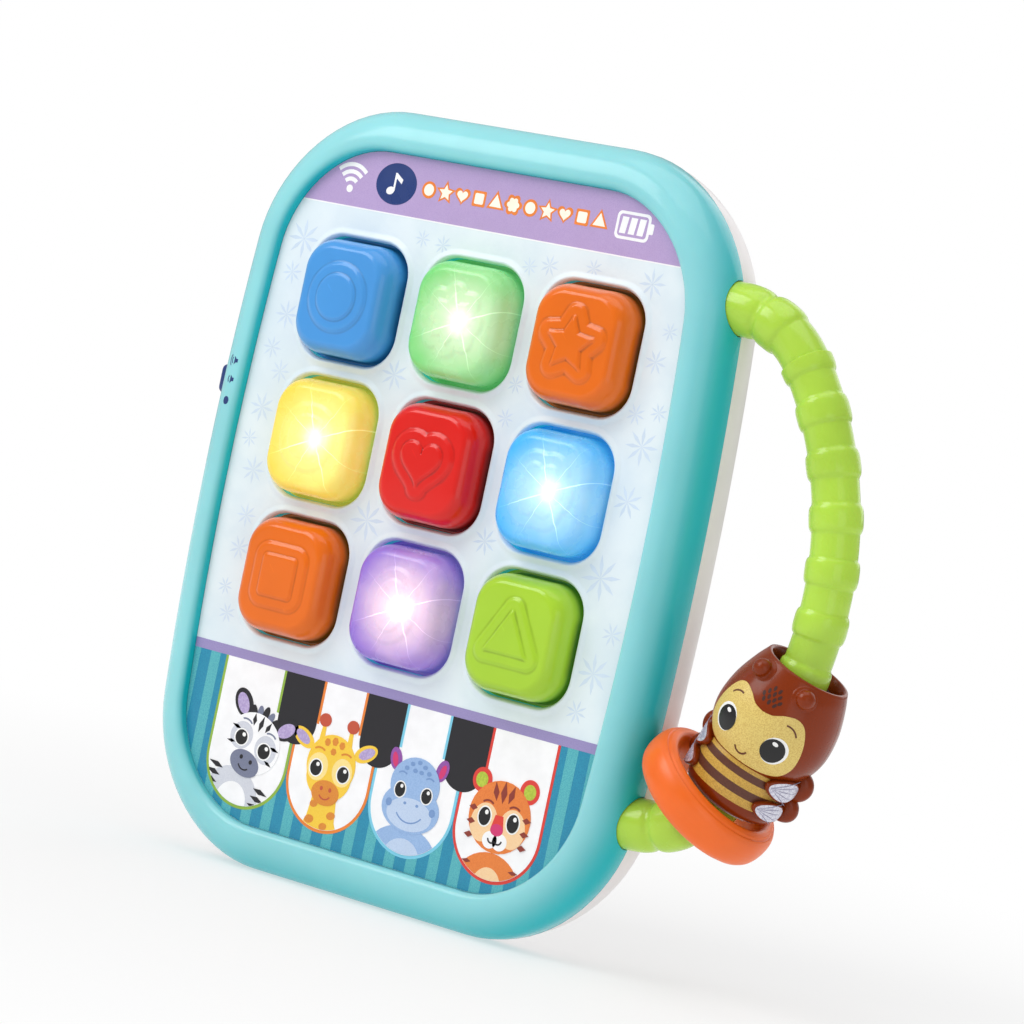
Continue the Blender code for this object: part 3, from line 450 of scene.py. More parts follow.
def finish(name):
    """A fine finish, made on first use; the frame's own materials keep their plain names."""
    full_name = "fine_" + name
    if full_name in bpy.data.materials:
        return bpy.data.materials[full_name]
    maker, *values = FINISHES[name]
    settings = values.pop() if isinstance(values[-1], dict) else {}
    return maker(full_name, *values, **settings)


# ---------------------------------------------------------------- outlines, as lists of (x, z)


def oval(x, z, half_x, half_z, turn=0.0, count=32):
    c, s = math.cos(math.radians(turn)), math.sin(math.radians(turn))
    points = []
    for n in range(count):
        angle = math.tau * n / count
        a, b = half_x * math.cos(angle), half_z * math.sin(angle)
        points.append((x + a * c - b * s, z + a * s + b * c))
    return points


def diamond(x, z, length, width, turn=0.0):
    """A long four-cornered leaf that starts at (x, z) and points along turn."""
    c, s = math.cos(math.radians(turn)), math.sin(math.radians(turn))
    local = [(0, 0), (length * 0.55, width / 2), (length, 0), (length * 0.55, -width / 2)]
    return [(x + a * c - b * s, z + a * s + b * c) for a, b in local]


def arc_band(x, z, radius, width, start, end, count=14):
    """A curved strip along an arc, from start to end degrees."""
    turns = [math.radians(start + (end - start) * n / count) for n in range(count + 1)]
    outer = [(x + (radius + width / 2) * math.cos(t), z + (radius + width / 2) * math.sin(t)) for t in turns]
    inner = [(x + (radius - width / 2) * math.cos(t), z + (radius - width / 2) * math.sin(t)) for t in turns]
    return outer + inner[::-1]


def rectangle(x_span, z_span):
    return [(x_span[0], z_span[0]), (x_span[1], z_span[0]), (x_span[1], z_span[1]), (x_span[0], z_span[1])]


def star(x, z, tip, valley, points=5):
    """A star with one tip upright."""
    outline = []
    for n in range(2 * points):
        radius = valley if n % 2 else tip
        angle = math.radians(90 + 180 * n / points)
        outline.append((x + radius * math.cos(angle), z + radius * math.sin(angle)))
    return outline


def heart(x, z, size):
    points = []
    for n in range(40):
        t = math.tau * n / 40
        a = 16 * math.sin(t) ** 3
        b = 13 * math.cos(t) - 5 * math.cos(2 * t) - 2 * math.cos(3 * t) - math.cos(4 * t)
        points.append((x - a * size / 16, z + (b + 2) * size / 16))
    return points


def flower(x, z, radius):
    """An outline of six round petals."""
    points = []
    for n in range(72):
        angle = math.tau * n / 72
        reach = radius * (0.84 + 0.16 * abs(math.cos(3 * angle)) * 1.6)
        points.append((x + reach * math.cos(angle), z + reach * math.sin(angle)))
    return points


def round_box(x, z, half_w, half_h, radius, per_corner=10, per_side=0):
    """A rounded rectangle, counterclockwise from its right side, with per_side more points to a side."""
    corners = []
    for corner in range(4):
        side_x, side_z = (1, -1, -1, 1)[corner], (1, 1, -1, -1)[corner]
        middle = (x + side_x * (half_w - radius), z + side_z * (half_h - radius))
        turns = [math.radians(90 * (corner + n / per_corner)) for n in range(per_corner + 1)]
        corners.append([(middle[0] + radius * math.cos(t), middle[1] + radius * math.sin(t)) for t in turns])
    points = []
    for corner, after in zip(corners, corners[1:] + corners[:1]):
        points += corner
        for n in range(1, per_side + 1):
            share = n / (per_side + 1)
            points.append(tuple((1 - share) * a + share * b for a, b in zip(corner[-1], after[0])))
    return points


def case_outline(inset):
    """The case's outline moved in by inset; its sides bow out toward the middle."""
    half_h = MID_Z - RISE_RATIO * inset
    flat = round_box(0, MID_Z, CASE_W / 2 - inset, half_h, CORNER_R - inset, 18, 14)
    return [(x * (1 - SIDE_BOW * ((z - MID_Z) / half_h) ** 2), z) for x, z in flat]


def clip(subject, convex):
    """The part of an outline that is inside a convex counterclockwise one."""
    result = list(subject)
    for (ax, az), (bx, bz) in zip(convex, convex[1:] + convex[:1]):
        def side(point):
            return (bx - ax) * (point[1] - az) - (bz - az) * (point[0] - ax)

        kept = []
        for start, end in zip(result, result[1:] + result[:1]):
            s0, s1 = side(start), side(end)
            if s0 >= 0:
                kept.append(start)
            if (s0 >= 0) != (s1 >= 0):
                t = s0 / (s0 - s1)
                kept.append((start[0] + t * (end[0] - start[0]), start[1] + t * (end[1] - start[1])))
        result = kept
        if not result:
            break
    return result


def smooth_curve(points, steps=6):
    """Catmull-Rom curve through points."""
    knots = [np.array(point, float) for point in points]
    knots = [2 * knots[0] - knots[1]] + knots + [2 * knots[-1] - knots[-2]]
    curve = []
    for p0, p1, p2, p3 in zip(knots, knots[1:], knots[2:], knots[3:]):
        for n in range(steps):
            t = n / steps
            a, b = 2 * p1, p2 - p0
            c, d = 2 * p0 - 5 * p1 + 4 * p2 - p3, -p0 + 3 * p1 - 3 * p2 + p3
            curve.append(tuple((a + b * t + c * t * t + d * t**3) / 2))
    return curve + [tuple(knots[-2])]


def quarter(start, end, steps=8, bulge="first"):
    """Quarter ellipse between two profile points, that leaves the first along its first or second axis."""
    points = []
    for n in range(steps + 1):
        t = math.radians(90 * n / steps)
        a, b = (math.sin(t), 1 - math.cos(t)) if bulge == "first" else (1 - math.cos(t), math.sin(t))
        points.append((start[0] + a * (end[0] - start[0]), start[1] + b * (end[1] - start[1])))
    return points


# ---------------------------------------------------------------- meshes


def loft(rings, loop=False):
    """Vertices and faces of a skin over rings of equal length, capped at both ends or joined in a loop."""
    size = len(rings[0])
    faces = []
    pairs = [(k, k + 1) for k in range(len(rings) - 1)] + ([(len(rings) - 1, 0)] if loop else [])
    for low, high in pairs:
        for n in range(size):
            m = (n + 1) % size
            faces.append((low * size + n, low * size + m, high * size + m, high * size + n))
    if not loop:
        faces.append(tuple(range(size)))
        faces.append(tuple(reversed(range((len(rings) - 1) * size, len(rings) * size))))
    return [tuple(point) for ring in rings for point in ring], faces


def make_mesh(name, shapes, finishes, sharp=38.0):
    """One mesh of (vertices, faces, finish index) shapes, with outward normals and sharp creases kept."""
    vertices, faces, slots = [], [], []
    for points, polygons, index in shapes:
        base = len(vertices)
        vertices += [tuple(part * MM for part in point) for point in points]
        faces += [tuple(base + n for n in polygon) for polygon in polygons]
        slots += list(index) if hasattr(index, "__len__") else [index] * len(polygons)
    mesh = bpy.data.meshes.new(name)
    mesh.from_pydata(vertices, [], faces)
    mesh.polygons.foreach_set("material_index", slots)
    bm = bmesh.new()
    bm.from_mesh(mesh)
    bmesh.ops.recalc_face_normals(bm, faces=bm.faces)
    bm.to_mesh(mesh)
    bm.free()
    for name_of in finishes:
        mesh.materials.append(finish(name_of))
    mesh.shade_smooth()
    mesh.set_sharp_from_angle(angle=math.radians(sharp))
    return mesh


def piece(name, shapes, finishes, body, slot, stands_for=(), sharp=38.0):
    """A shown object that rides on a CAD body, with finishes made from the given names; slot is not used."""
    obj = bpy.data.objects.new(name, make_mesh(name, shapes, finishes, sharp))
    bpy.context.scene.collection.objects.link(obj)
    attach(obj, body)
    if stands_for:
        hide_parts(*stands_for)
    return obj


def carve(obj, shapes):
    """Cuts closed shapes out of an object's mesh."""
    for points, faces in shapes:
        tool = bpy.data.objects.new("tool", make_mesh("tool", [(points, faces, 0)], []))
        bpy.context.scene.collection.objects.link(tool)
        cut = obj.modifiers.new("cut", "BOOLEAN")
        cut.operation = "DIFFERENCE"
        cut.solver = "EXACT"
        cut.object = tool
        evaluated = obj.evaluated_get(bpy.context.evaluated_depsgraph_get())
        mesh = bpy.data.meshes.new_from_object(evaluated)
        obj.modifiers.clear()
        obj.data = mesh
        bpy.data.objects.remove(tool)
    obj.data.shade_smooth()
    obj.data.set_sharp_from_angle(angle=math.radians(32))


def ease_edges(obj, width):
    """Rounds an object's hard edges a little."""
    rounding = obj.modifiers.new("edges", "BEVEL")
    rounding.width = width * MM
    rounding.segments = 2
    rounding.limit_method = "ANGLE"
    rounding.angle_limit = math.radians(40)
    rounding.harden_normals = True


def prism(outline, y_front, y_back):
    return loft([[(x, y_front, z) for x, z in outline], [(x, y_back, z) for x, z in outline]])


def rod_along_y(x, z, radius, y_front, y_back):
    return prism(oval(x, z, radius, radius, count=32), y_front, y_back)


def inside(point, outline):
    """Whether a point is inside an outline."""
    x, z = point
    crossings = 0
    for (ax, az), (bx, bz) in zip(outline, outline[1:] + outline[:1]):
        if (az > z) != (bz > z) and x < ax + (z - az) * (bx - ax) / (bz - az):
            crossings += 1
    return crossings % 2 == 1


def holed_plate(outlines, y_front, y_back):
    """A flat sheet with holes: the first outline is its edge."""
    flat, rims = [], []
    for outline in outlines:
        rims.append(range(len(flat), len(flat) + len(outline)))
        flat += outline
    edges = [(n, rim[(k + 1) % len(rim)]) for rim in rims for k, n in enumerate(rim)]
    filled = delaunay_2d_cdt([Vector(point) for point in flat], edges, [], 0, 1e-6)
    flat = [tuple(point) for point in filled[0]]
    kept = []
    for triangle in filled[2]:
        middle = [sum(flat[n][axis] for n in triangle) / 3 for axis in (0, 1)]
        if inside(middle, outlines[0]) and not any(inside(middle, hole) for hole in outlines[1:]):
            kept.append(tuple(triangle))
    sides = {(a, b) for triangle in kept for a, b in zip(triangle, triangle[1:] + triangle[:1])}
    size = len(flat)
    faces = kept + [tuple(size + n for n in reversed(triangle)) for triangle in kept]
    faces += [(b, a, size + a, size + b) for a, b in sides if (b, a) not in sides]
    return [(x, y, z) for y in (y_front, y_back) for x, z in flat], faces


def turned(profile, place, count, start=0.0, end=360.0):
    """A closed profile of (radius, height) points turned about a place's Z, fully or in part."""
    full = end - start >= 360
    rings = []
    for n in range(count if full else count + 1):
        angle = math.radians(start + (end - start) * n / count)
        c, s = math.sin(angle), -math.cos(angle)
        rings.append([tuple(place @ Vector((r * c, r * s, h))) for r, h in profile])
    return loft(rings, full)


# ---------------------------------------------------------------- prints


class Print:
    """Thin closed inlays of coloured ink, stacked in layers on a surface, in one object."""

    def __init__(self, name, body, slot, surface, step=0.0):
        self.name, self.body, self.slot = name, body, slot
        self.surface, self.step = surface, step
        self.finishes, self.shapes = [], []

    def add(self, colour, outline, layer=1):
        """Prints an outline; higher layers lie over lower ones, and all of them sink a little way in."""
        if len(outline) < 3:
            return
        if colour not in self.finishes:
            self.finishes.append(colour)
        bm = bmesh.new()
        bm.faces.new([bm.verts.new((u, v, 0)) for u, v in outline])
        if self.step:
            self.grid_cut(bm, outline)
        faces = list(bm.faces)
        raised = bmesh.ops.extrude_face_region(bm, geom=faces)
        top = {item for item in raised["geom"] if isinstance(item, bmesh.types.BMVert)}
        bm.verts.index_update()
        points = [self.surface(v.co.x, v.co.y, layer * INK if v in top else -INK_SINK) for v in bm.verts]
        polygons = [tuple(v.index for v in f.verts) for f in bm.faces]
        bm.free()
        self.shapes.append((points, polygons, self.finishes.index(colour)))

    def grid_cut(self, bm, outline):
        """Splits the inlay along a regular grid, so that it can follow a curved surface."""
        bmesh.ops.triangulate(bm, faces=bm.faces)
        for axis in (0, 1):
            values = [point[axis] for point in outline]
            first, last = math.ceil(min(values) / self.step), math.floor(max(values) / self.step)
            for n in range(first, last + 1):
                across = [0, 0, 0]
                across[axis] = 1
                at = [part * n * self.step for part in across]
                everything = bm.verts[:] + bm.edges[:] + bm.faces[:]
                bmesh.ops.bisect_plane(bm, geom=everything, dist=1e-5, plane_co=at, plane_no=across)

    def build(self):
        return piece(self.name, self.shapes, self.finishes, self.body, self.slot, sharp=30)


def on_face(u, v, w):
    return (u, FACE_Y - w, v)


# ---------------------------------------------------------------- case


def at_depth(outline, y):
    return [(x, y, z) for x, z in outline]


def rod_ends():
    """Heights at which the handle enters the case."""
    end = math.radians(ARC_END)
    reach = (ARC_R - ELBOW_R) * math.sin(end) + ELBOW_R
    return ARC_CENTRE.z - reach, ARC_CENTRE.z + reach


def rod_sockets():
    tools = []
    for height in rod_ends():
        rings = []
        for x in (CASE_HIGH.x - 9.5, CASE_HIGH.x + 10):
            rings.append([(x, a, b) for a, b in oval(0, height, ROD_HOLE_R, ROD_HOLE_R, count=48)])
        tools.append(loft(rings))
    return tools


def make_front():
    lip = [(BEZEL_W, DECK_Y - 0.1), (BEZEL_W, CREST_Y + 1.7)]
    crest = quarter((BEZEL_W, CREST_Y + 1.7), (CREST_IN, CREST_Y), 6, "second")
    outside = quarter((CREST_IN, CREST_Y), (0, FLAT_WALL_Y), 22)
    seam = [(0, SEAM_Y - 0.35), (0.1, SEAM_Y - 0.1), (0.35, SEAM_Y), (WALL, SEAM_Y)]
    lining = quarter((CREST_IN, CREST_Y + WALL), (WALL, FLAT_WALL_Y), 10)[::-1]
    foot = [(BEZEL_W - 0.9, DECK_Y - 0.6), (BEZEL_W - 0.9, DECK_BACK_Y)]
    profile = lip + crest[1:] + outside[1:] + seam + lining + foot + [(BEZEL_W, DECK_BACK_Y)]
    shell = loft([at_depth(case_outline(inset), y) for inset, y in profile], loop=True)
    front = piece("front_shell", [(*shell, 0)], ["teal"], "case", "teal_plastic", ["front_housing"])
    carve(front, rod_sockets() + [knob_slot()])
    windows = [round_box(x, z, *WINDOW_HALF, WINDOW_R) for x, z in CAP_CENTRES]
    deck = holed_plate([case_outline(BEZEL_W - 0.95)] + windows, DECK_Y, DECK_BACK_Y)
    piece("front_deck", [(*deck, 0)], ["teal_deep"], "case", "teal_plastic")


def knob_slot():
    low, high = box_mm("volume_knob")
    middle_y, middle_z = (low.y + high.y) / 2, (low.z + high.z) / 2
    outline = round_box(middle_y, middle_z, 2.7, 9.8, 2.6, 6)
    return loft([[(x, y, z) for y, z in outline] for x in (CASE_LOW.x - 4, CASE_LOW.x + 6)])


def make_rear():
    edge = REAR_IN + REAR_ROUND
    outside = quarter((edge, BACK_Y), (REAR_IN, REAR_FLAT_Y), 16)
    seam_y = SEAM_Y + GAP
    lip = [(REAR_IN, seam_y + 0.4), (REAR_IN + 0.4, seam_y), (REAR_IN + WALL, seam_y)]
    lining = quarter((edge, BACK_Y - WALL), (REAR_IN + WALL, REAR_FLAT_Y), 8)[::-1]
    rings = [at_depth(case_outline(inset), y) for inset, y in outside + lip + lining]
    rear = piece("rear_shell", [(*loft(rings), 0)], ["rear_white"], "case", "white_plastic", ["rear_housing"])
    door_low, door_high = box_mm("battery_door")
    door_z = (door_low.z + door_high.z) / 2
    half_w, half_h = door_high.x, (door_high.z - door_low.z) / 2
    tools = rod_sockets()
    tools.append(prism(round_box(0, door_z, half_w + GAP, half_h + GAP, 3.2, 6), BACK_Y - 1.6, BACK_Y + 2))
    tools.append(prism(tray_outline(0.0), BACK_Y - WALL - 0.5, BACK_Y))
    for number in range(1, 7):
        x, z, head_y = screw_place(f"case_screw_{number}")
        rim = [at_depth(oval(x, z, r, r, count=32), y) for r, y in
               ((3.0, head_y - 1), (3.0, BACK_Y - 0.5), (3.5, BACK_Y), (3.5, BACK_Y + 2))]
        tools.append(loft(rim))
    tools += grille_holes()
    carve(rear, tools)
    ease_edges(rear, 0.25)
    make_tray()
    make_door(door_z, half_w, half_h)


def tray_outline(out):
    """The cells' tray seen from behind: a rectangle round the cells and their contacts."""
    boxes = [box_mm(node) for node in ("battery_1", "battery_2", "contact_spring_1", "contact_plate_1")]
    half_w = max(high.x for low, high in boxes) + 0.3 + out
    bottom, top = min(low.z for low, high in boxes), max(high.z for low, high in boxes)
    return round_box(0, (bottom + top) / 2, half_w, (top - bottom) / 2 + 0.3 + out, 0.8 + out, 4)


def make_tray():
    """An open box under the battery door, round the cells."""
    floor_y = min(box_mm(f"battery_{number}")[0].y for number in (1, 2)) - 0.3
    rim_y = BACK_Y - 1.8
    rings = [at_depth(tray_outline(out), y) for out, y in
             ((0.0, floor_y), (0.0, rim_y), (1.2, rim_y), (1.2, floor_y - 1.2))]
    piece("battery_tray", [(*loft(rings), 0)], ["rear_white"], "case", "white_plastic")


def screw_place(node):
    """A screw's X and Z, and the height of its head."""
    low, high = box_mm(node)
    return (low.x + high.x) / 2, (low.z + high.z) / 2, high.y


def grille_holes():
    """Round holes in rings over the speaker, each with an eased mouth."""
    low, high = box_mm("speaker_frame")
    x, z = (low.x + high.x) / 2, (low.z + high.z) / 2
    places = [(x, z)]
    for ring, count in ((5.2, 6), (10.4, 10)):
        places += oval(x, z, ring, ring, count=count)
    stack = ((1.35, BACK_Y - WALL - 0.6), (1.35, BACK_Y - 0.45), (1.85, BACK_Y), (1.85, BACK_Y + 1))
    return [loft([at_depth(oval(a, b, r, r, count=20), y) for r, y in stack]) for a, b in places]


def make_door(middle_z, half_w, half_h):
    """The battery door: a plate with rounded corners, grip ribs and a well for its screw."""
    low, high = box_mm("battery_door")
    plate = [(0.5, low.y), (0.0, low.y + 0.4), (0.0, high.y - 0.45), (0.13, high.y - 0.13), (0.45, high.y)]
    rings = [at_depth(round_box(0, middle_z, half_w - i, half_h - i, 3.0 - i, 8), y) for i, y in plate]
    name = "battery_door"
    door = piece(name + "_cover", [(*loft(rings), 0)], ["rear_white"], name, "white_plastic", [name])
    x, z, head_y = screw_place("door_screw")
    ribs = []
    for n in range(5):
        width = 9 - 1.1 * n
        rib = round_box(0, middle_z - half_h + 4 + 1.7 * n, width, 0.45, 0.44, 4)
        ribs.append(prism(rib, high.y - 0.3, high.y + 1))
    carve(door, [rod_along_y(x, z, 3.0, head_y - 0.62, high.y + 1)] + ribs)


def make_screws():
    for number in range(1, 7):
        make_screw(f"case_screw_{number}", "case")
    make_screw("door_screw", "battery_door")


def make_screw(node, body):
    """A round-headed screw with a cross recess; its head looks toward +Y."""
    low, high = box_mm(node)
    x, z, head_y = screw_place(node)
    head_r = (high.x - low.x) / 2
    bottom = head_y - (1.5 if node.startswith("case") else 0.5)
    dome = ((0.5, 0.04), (0.85, 0.2), (1.0, 0.45))
    head = [(0.05, head_y)] + [(head_r * share, head_y - fall) for share, fall in dome]
    thread = []
    y = bottom - 0.3
    while y > low.y + 1.4:
        thread += [(1.25, y), (0.95, y - 0.35)]
        y -= 0.7
    profile = head + [(head_r, bottom), (1.0, bottom)] + thread + [(0.05, low.y)]
    rings = [at_depth(oval(x, z, r, r, count=32), y) for r, y in profile]
    made = piece(node + "_fine", [(*loft(rings), 0)], ["steel"], body, "steel", [node])
    arms = []
    for half in ((1.5, 0.32), (0.32, 1.5)):
        outline = rectangle((x - half[0], x + half[0]), (z - half[1], z + half[1]))
        arms.append(prism(outline, head_y - 0.42, head_y + 0.5))
    carve(made, arms)


def make_knob():
    """The volume slider: a ribbed key."""
    low, high = box_mm("volume_knob")
    middle_y, middle_z = (low.y + high.y) / 2, (low.z + high.z) / 2
    half_y, half_z = 2.2, 4.0
    rows = [(low.x, 0.7), (low.x + 0.25, 0.25), (low.x + 0.8, 0.0), (high.x - 1.3, 0.0)]
    rings = []
    for x, inset in rows:
        outline = round_box(middle_y, middle_z, half_y - inset, half_z - inset, 1.4, 6)
        rings.append([(x, y, z) for y, z in outline])
    shapes = [(*loft(rings), 0)]
    flange = round_box(middle_y, middle_z, 2.8, 9.0, 1.2, 4)
    shapes.append((*loft([[(x, y, z) for y, z in flange] for x in (high.x - 1.3, high.x)]), 0))
    for n in range(-2, 3):
        rib = round_box(middle_y, middle_z + 1.3 * n, half_y - 0.6, 0.32, 0.3, 4)
        shapes.append((*loft([[(x, y, z) for y, z in rib] for x in (low.x, low.x + 0.6)]), 0))
    piece("volume_key", shapes, ["navy"], "volume_knob", "black_plastic", ["volume_knob"])


def shoulder(u, v, w):
    """A point on the case's left shoulder: u runs outward from the crest, v is height."""
    turn = math.radians(15) + u / 9.3
    inset = CREST_IN * (1 - math.sin(turn))
    depth = CREST_Y - FLAT_WALL_Y
    half_h = MID_Z - RISE_RATIO * inset
    x = -(CASE_W / 2 - inset) * (1 - SIDE_BOW * ((v - MID_Z) / half_h) ** 2)
    return (x - w * math.sin(turn), FLAT_WALL_Y + depth * math.cos(turn) - w * math.cos(turn), v)


def make_volume_marks():
    """Loud, low and off marks beside the volume slider."""
    marks = Print("volume_marks", "case", "black_plastic", shoulder, 0.7)
    low, high = box_mm("volume_knob")
    middle = (low.z + high.z) / 2
    for row, waves in ((5.6, 2), (0.3, 1)):
        z = middle + row
        horn = [(-1.9, -0.5), (-1.2, -0.5), (-0.4, -1.2), (-0.4, 1.2), (-1.2, 0.5), (-1.9, 0.5)]
        marks.add("navy", [(u, z + v) for u, v in horn])
        for n in range(waves):
            marks.add("navy", arc_band(-0.5, z, 1.1 + 0.9 * n, 0.4, -48, 48, 8))
    marks.add("navy", oval(-0.6, middle - 5.7, 1.15, 1.15))
    marks.build()


# ---------------------------------------------------------------- face


def make_panel():
    """The face sheet, with a soft rolled rim around each window."""
    holes = [
        round_box(x, z, WINDOW_HALF[0] + RIM_W, WINDOW_HALF[1] + RIM_W, WINDOW_R + RIM_W, 12, 6)
        for x, z in CAP_CENTRES
    ]
    sheet = holed_plate([case_outline(BEZEL_W + 0.12)] + holes, FACE_Y, PANEL_BACK_Y)
    shapes = [(*sheet, 0)]
    for x, z in CAP_CENTRES:
        rows = [(RIM_W, PANEL_BACK_Y), (RIM_W, FACE_Y)]
        for n in range(1, 13):
            t = n / 12
            rise = RIM_RISE * math.sin(math.pi * min(1.0, t * 1.25) / 2) ** 2
            fall = 1.15 * max(0.0, (t - 0.62) / 0.38) ** 2.2
            rows.append((RIM_W * (1 - t), FACE_Y - rise + fall))
        rows.append((0.0, PANEL_BACK_Y))
        rings = []
        for out, y in rows:
            outline = round_box(x, z, WINDOW_HALF[0] + out, WINDOW_HALF[1] + out, WINDOW_R + out, 12, 6)
            rings.append(at_depth(outline, y))
        shapes.append((*loft(rings, loop=True), 0))
    piece("face_sheet", shapes, ["sheet"], "case", "printed_panel", ["face_panel"])


def new_print(name):
    return Print(name, "case", "printed_panel", on_face)


def make_bands():
    edge = case_outline(BEZEL_W + 0.16)
    far = CASE_W
    bands = new_print("face_bands")
    bands.add("purple", clip(edge, rectangle((-far, far), (BAND_Z, CASE_H))))
    bands.add("white_ink", clip(edge, rectangle((-far, far), (BAND_Z - 0.35, BAND_Z))), 2)
    field = rectangle((-far, far), (0, LINE_Z[0] + 0.1))
    bands.add("stripe_deep", clip(edge, field))
    for n in range(-STRIPES, STRIPES + 1):
        x = n * STRIPE_PITCH + 1.9
        stripe = rectangle((x, x + STRIPE_W), (0, LINE_Z[0]))
        bands.add("stripe_light", clip(stripe, edge), 2)
    bands.add("violet_line", clip(edge, rectangle((-far, far), LINE_Z)), 3)
    bands.build()


def make_flakes():
    """Faint eight-armed snowflakes on the sheet's clear ground."""
    flakes = new_print("face_flakes")
    dice = np.random.default_rng(FLAKE_SEED)
    edge = case_outline(BEZEL_W + 1.5)
    windows = [round_box(x, z, WINDOW_HALF[0] + 1, WINDOW_HALF[1] + 1, WINDOW_R + 1) for x, z in CAP_CENTRES]
    placed = []
    for _ in range(FLAKE_TRIES):
        x, z = dice.uniform(-68, 68), dice.uniform(LINE_Z[1] + 3, BAND_Z - 3)
        size, turn = dice.uniform(2.6, 6.2), dice.uniform(0, 45)
        tips = oval(x, z, size, size, turn, 8)
        if any(math.hypot(x - a, z - b) < size + other + 0.6 for a, b, other in placed):
            continue
        if not all(inside(tip, edge) and LINE_Z[1] + 0.4 < tip[1] < BAND_Z - 0.6 for tip in tips):
            continue
        if any(inside(point, window) for point in tips + [(x, z)] for window in windows):
            continue
        placed.append((x, z, size))
        for arm in range(8):
            flakes.add("flake", diamond(x, z, size, size * 0.2, turn + 45 * arm), 1 + 0.02 * arm)
    flakes.build()


def make_icons():
    """Signal and charge signs at the ends of the top band, and a row of the caps' shapes between them."""
    icons = new_print("face_icons")
    middle = (BAND_Z + PANEL_HIGH.z) / 2
    x, z = -47.9, middle - 3.4
    icons.add("white_ink", oval(x, z, 1.05, 1.05), 2)
    for n in range(3):
        icons.add("white_ink", arc_band(x, z, 2.7 + 2.0 * n, 1.15, 46, 134, 16), 2)
    icons.add("navy", oval(-32.6, middle, 6.8, 5.7, count=48), 2)
    icons.add("white_ink", oval(-34.2, middle - 2.0, 1.35, 1.05, 20), 3)
    icons.add("white_ink", rectangle((-33.4, -32.8), (middle - 2.0, middle + 3.0)), 3.5)
    flag = [(-32.9, 3.0), (-32.9, 1.6), (-30.9, 0.2), (-30.6, 1.4)]
    icons.add("white_ink", [(a, middle + b) for a, b in flag], 4)
    row = [
        lambda x, s: oval(x, middle, 1.75 * s, 1.75 * s),
        lambda x, s: star(x, middle, 2.5 * s, 1.2 * s),
        lambda x, s: heart(x, middle - 0.2, 1.9 * s),
        lambda x, s: round_box(x, middle, 1.6 * s, 1.6 * s, 0.4, 3),
        lambda x, s: star(x, middle - 0.3, 2.5 * s, 1.24 * s, 3),
        lambda x, s: flower(x, middle, 2.0 * s),
    ]
    for n in range(SIGN_COUNT):
        x = SIGN_START + n * SIGN_RUN / (SIGN_COUNT - 1)
        icons.add("amber", row[n % len(row)](x, 1.34), 2)
        icons.add("cream_ink", row[n % len(row)](x, 0.92), 3)
    x = 45.0
    icons.add("white_ink", round_box(x, middle, 5.3, 3.7, 1.4, 5), 2)
    icons.add("white_ink", round_box(x + 5.6, middle, 0.9, 1.4, 0.4, 3), 2.5)
    icons.add("purple", round_box(x, middle, 4.5, 2.9, 0.9, 5), 3)
    for n in range(3):
        left = x - 3.9 + 2.75 * n
        bar = [(0.0, -2.2), (1.9, -2.2), (2.35, 2.2), (0.35, 2.2)]
        icons.add("white_ink", [(left + a, middle + b) for a, b in bar], 4)
    icons.build()


# ---------------------------------------------------------------- picture keys


def key_outline(x, grow=0.0):
    """A piano key: straight sides and a round lower end."""
    radius = KEY_HALF_W + grow
    turns = [math.radians(180 + 180 * n / 28) for n in range(29)]
    low = [(x + radius * math.cos(t), KEY_HEAD_Z + radius * math.sin(t)) for t in turns]
    return low + [(x + radius, LINE_Z[0]), (x - radius, LINE_Z[0])]


def make_keys():
    keys = new_print("face_keys")
    trims = ["olive", "amber", "pale_blue", "red_ink"]
    places = [(n - 1.5) * KEY_PITCH for n in range(4)]
    for x, trim in zip(places, trims):
        keys.add(trim, key_outline(x, 0.85), 3)
        keys.add("white_ink", key_outline(x), 4)
    for n in range(3):
        x = (n - 1) * KEY_PITCH
        half = 6.6
        for side, trim in ((-1, trims[n]), (1, trims[n + 1])):
            edge = sorted((x + side * half, x + side * (half + 0.8)))
            keys.add(trim, rectangle(edge, (44, LINE_Z[0])), 5)
        turns = [math.radians(180 + 180 * k / 20) for k in range(21)]
        low = [(x + half * math.cos(t), 43.2 + half * 0.96 * math.sin(t)) for t in turns]
        keys.add("black_ink", low + [(x + half, LINE_Z[0]), (x - half, LINE_Z[0])], 6)
    keys.build()
    for maker, x in zip((make_zebra, make_giraffe, make_hippo, make_tiger), places):
        maker(x)


class Portrait:
    """A print drawn around the middle of a key's round end; what hangs below is cut to the key."""

    def __init__(self, name, x, wide=1.0, tall=1.0, lean=0.0):
        self.print = new_print(name)
        self.x, self.z = x, KEY_HEAD_Z
        self.wide, self.tall = wide, tall
        self.cos, self.sin = math.cos(math.radians(lean)), math.sin(math.radians(lean))
        self.frame = key_outline(x, -0.1)

    def add(self, colour, outline, layer, cut=False):
        sized = [(a * self.wide, b * self.tall) for a, b in outline]
        turned_to = [(a * self.cos - b * self.sin, a * self.sin + b * self.cos) for a, b in sized]
        placed = [(self.x + a, self.z + b) for a, b in turned_to]
        self.print.add(colour, clip(placed, self.frame) if cut else placed, layer + 7)

    def eyes(self, x, z, size, layer=5):
        for side in (-1, 1):
            self.add("eye_white", oval(side * x, z, size * 1.22, size * 1.42), layer)
            self.add("eye_black", oval(side * x, z, size, size * 1.22), layer + 1)
            shine = oval(side * x + size * 0.25, z + size * 0.6, size * 0.3, size * 0.32, count=12)
            self.add("eye_white", shine, layer + 2)

    def smile(self, colour, x, z, radius, layer, spread=60):
        self.add(colour, arc_band(x, z + radius, radius, 0.4, 270 - spread, 270 + spread, 12), layer)


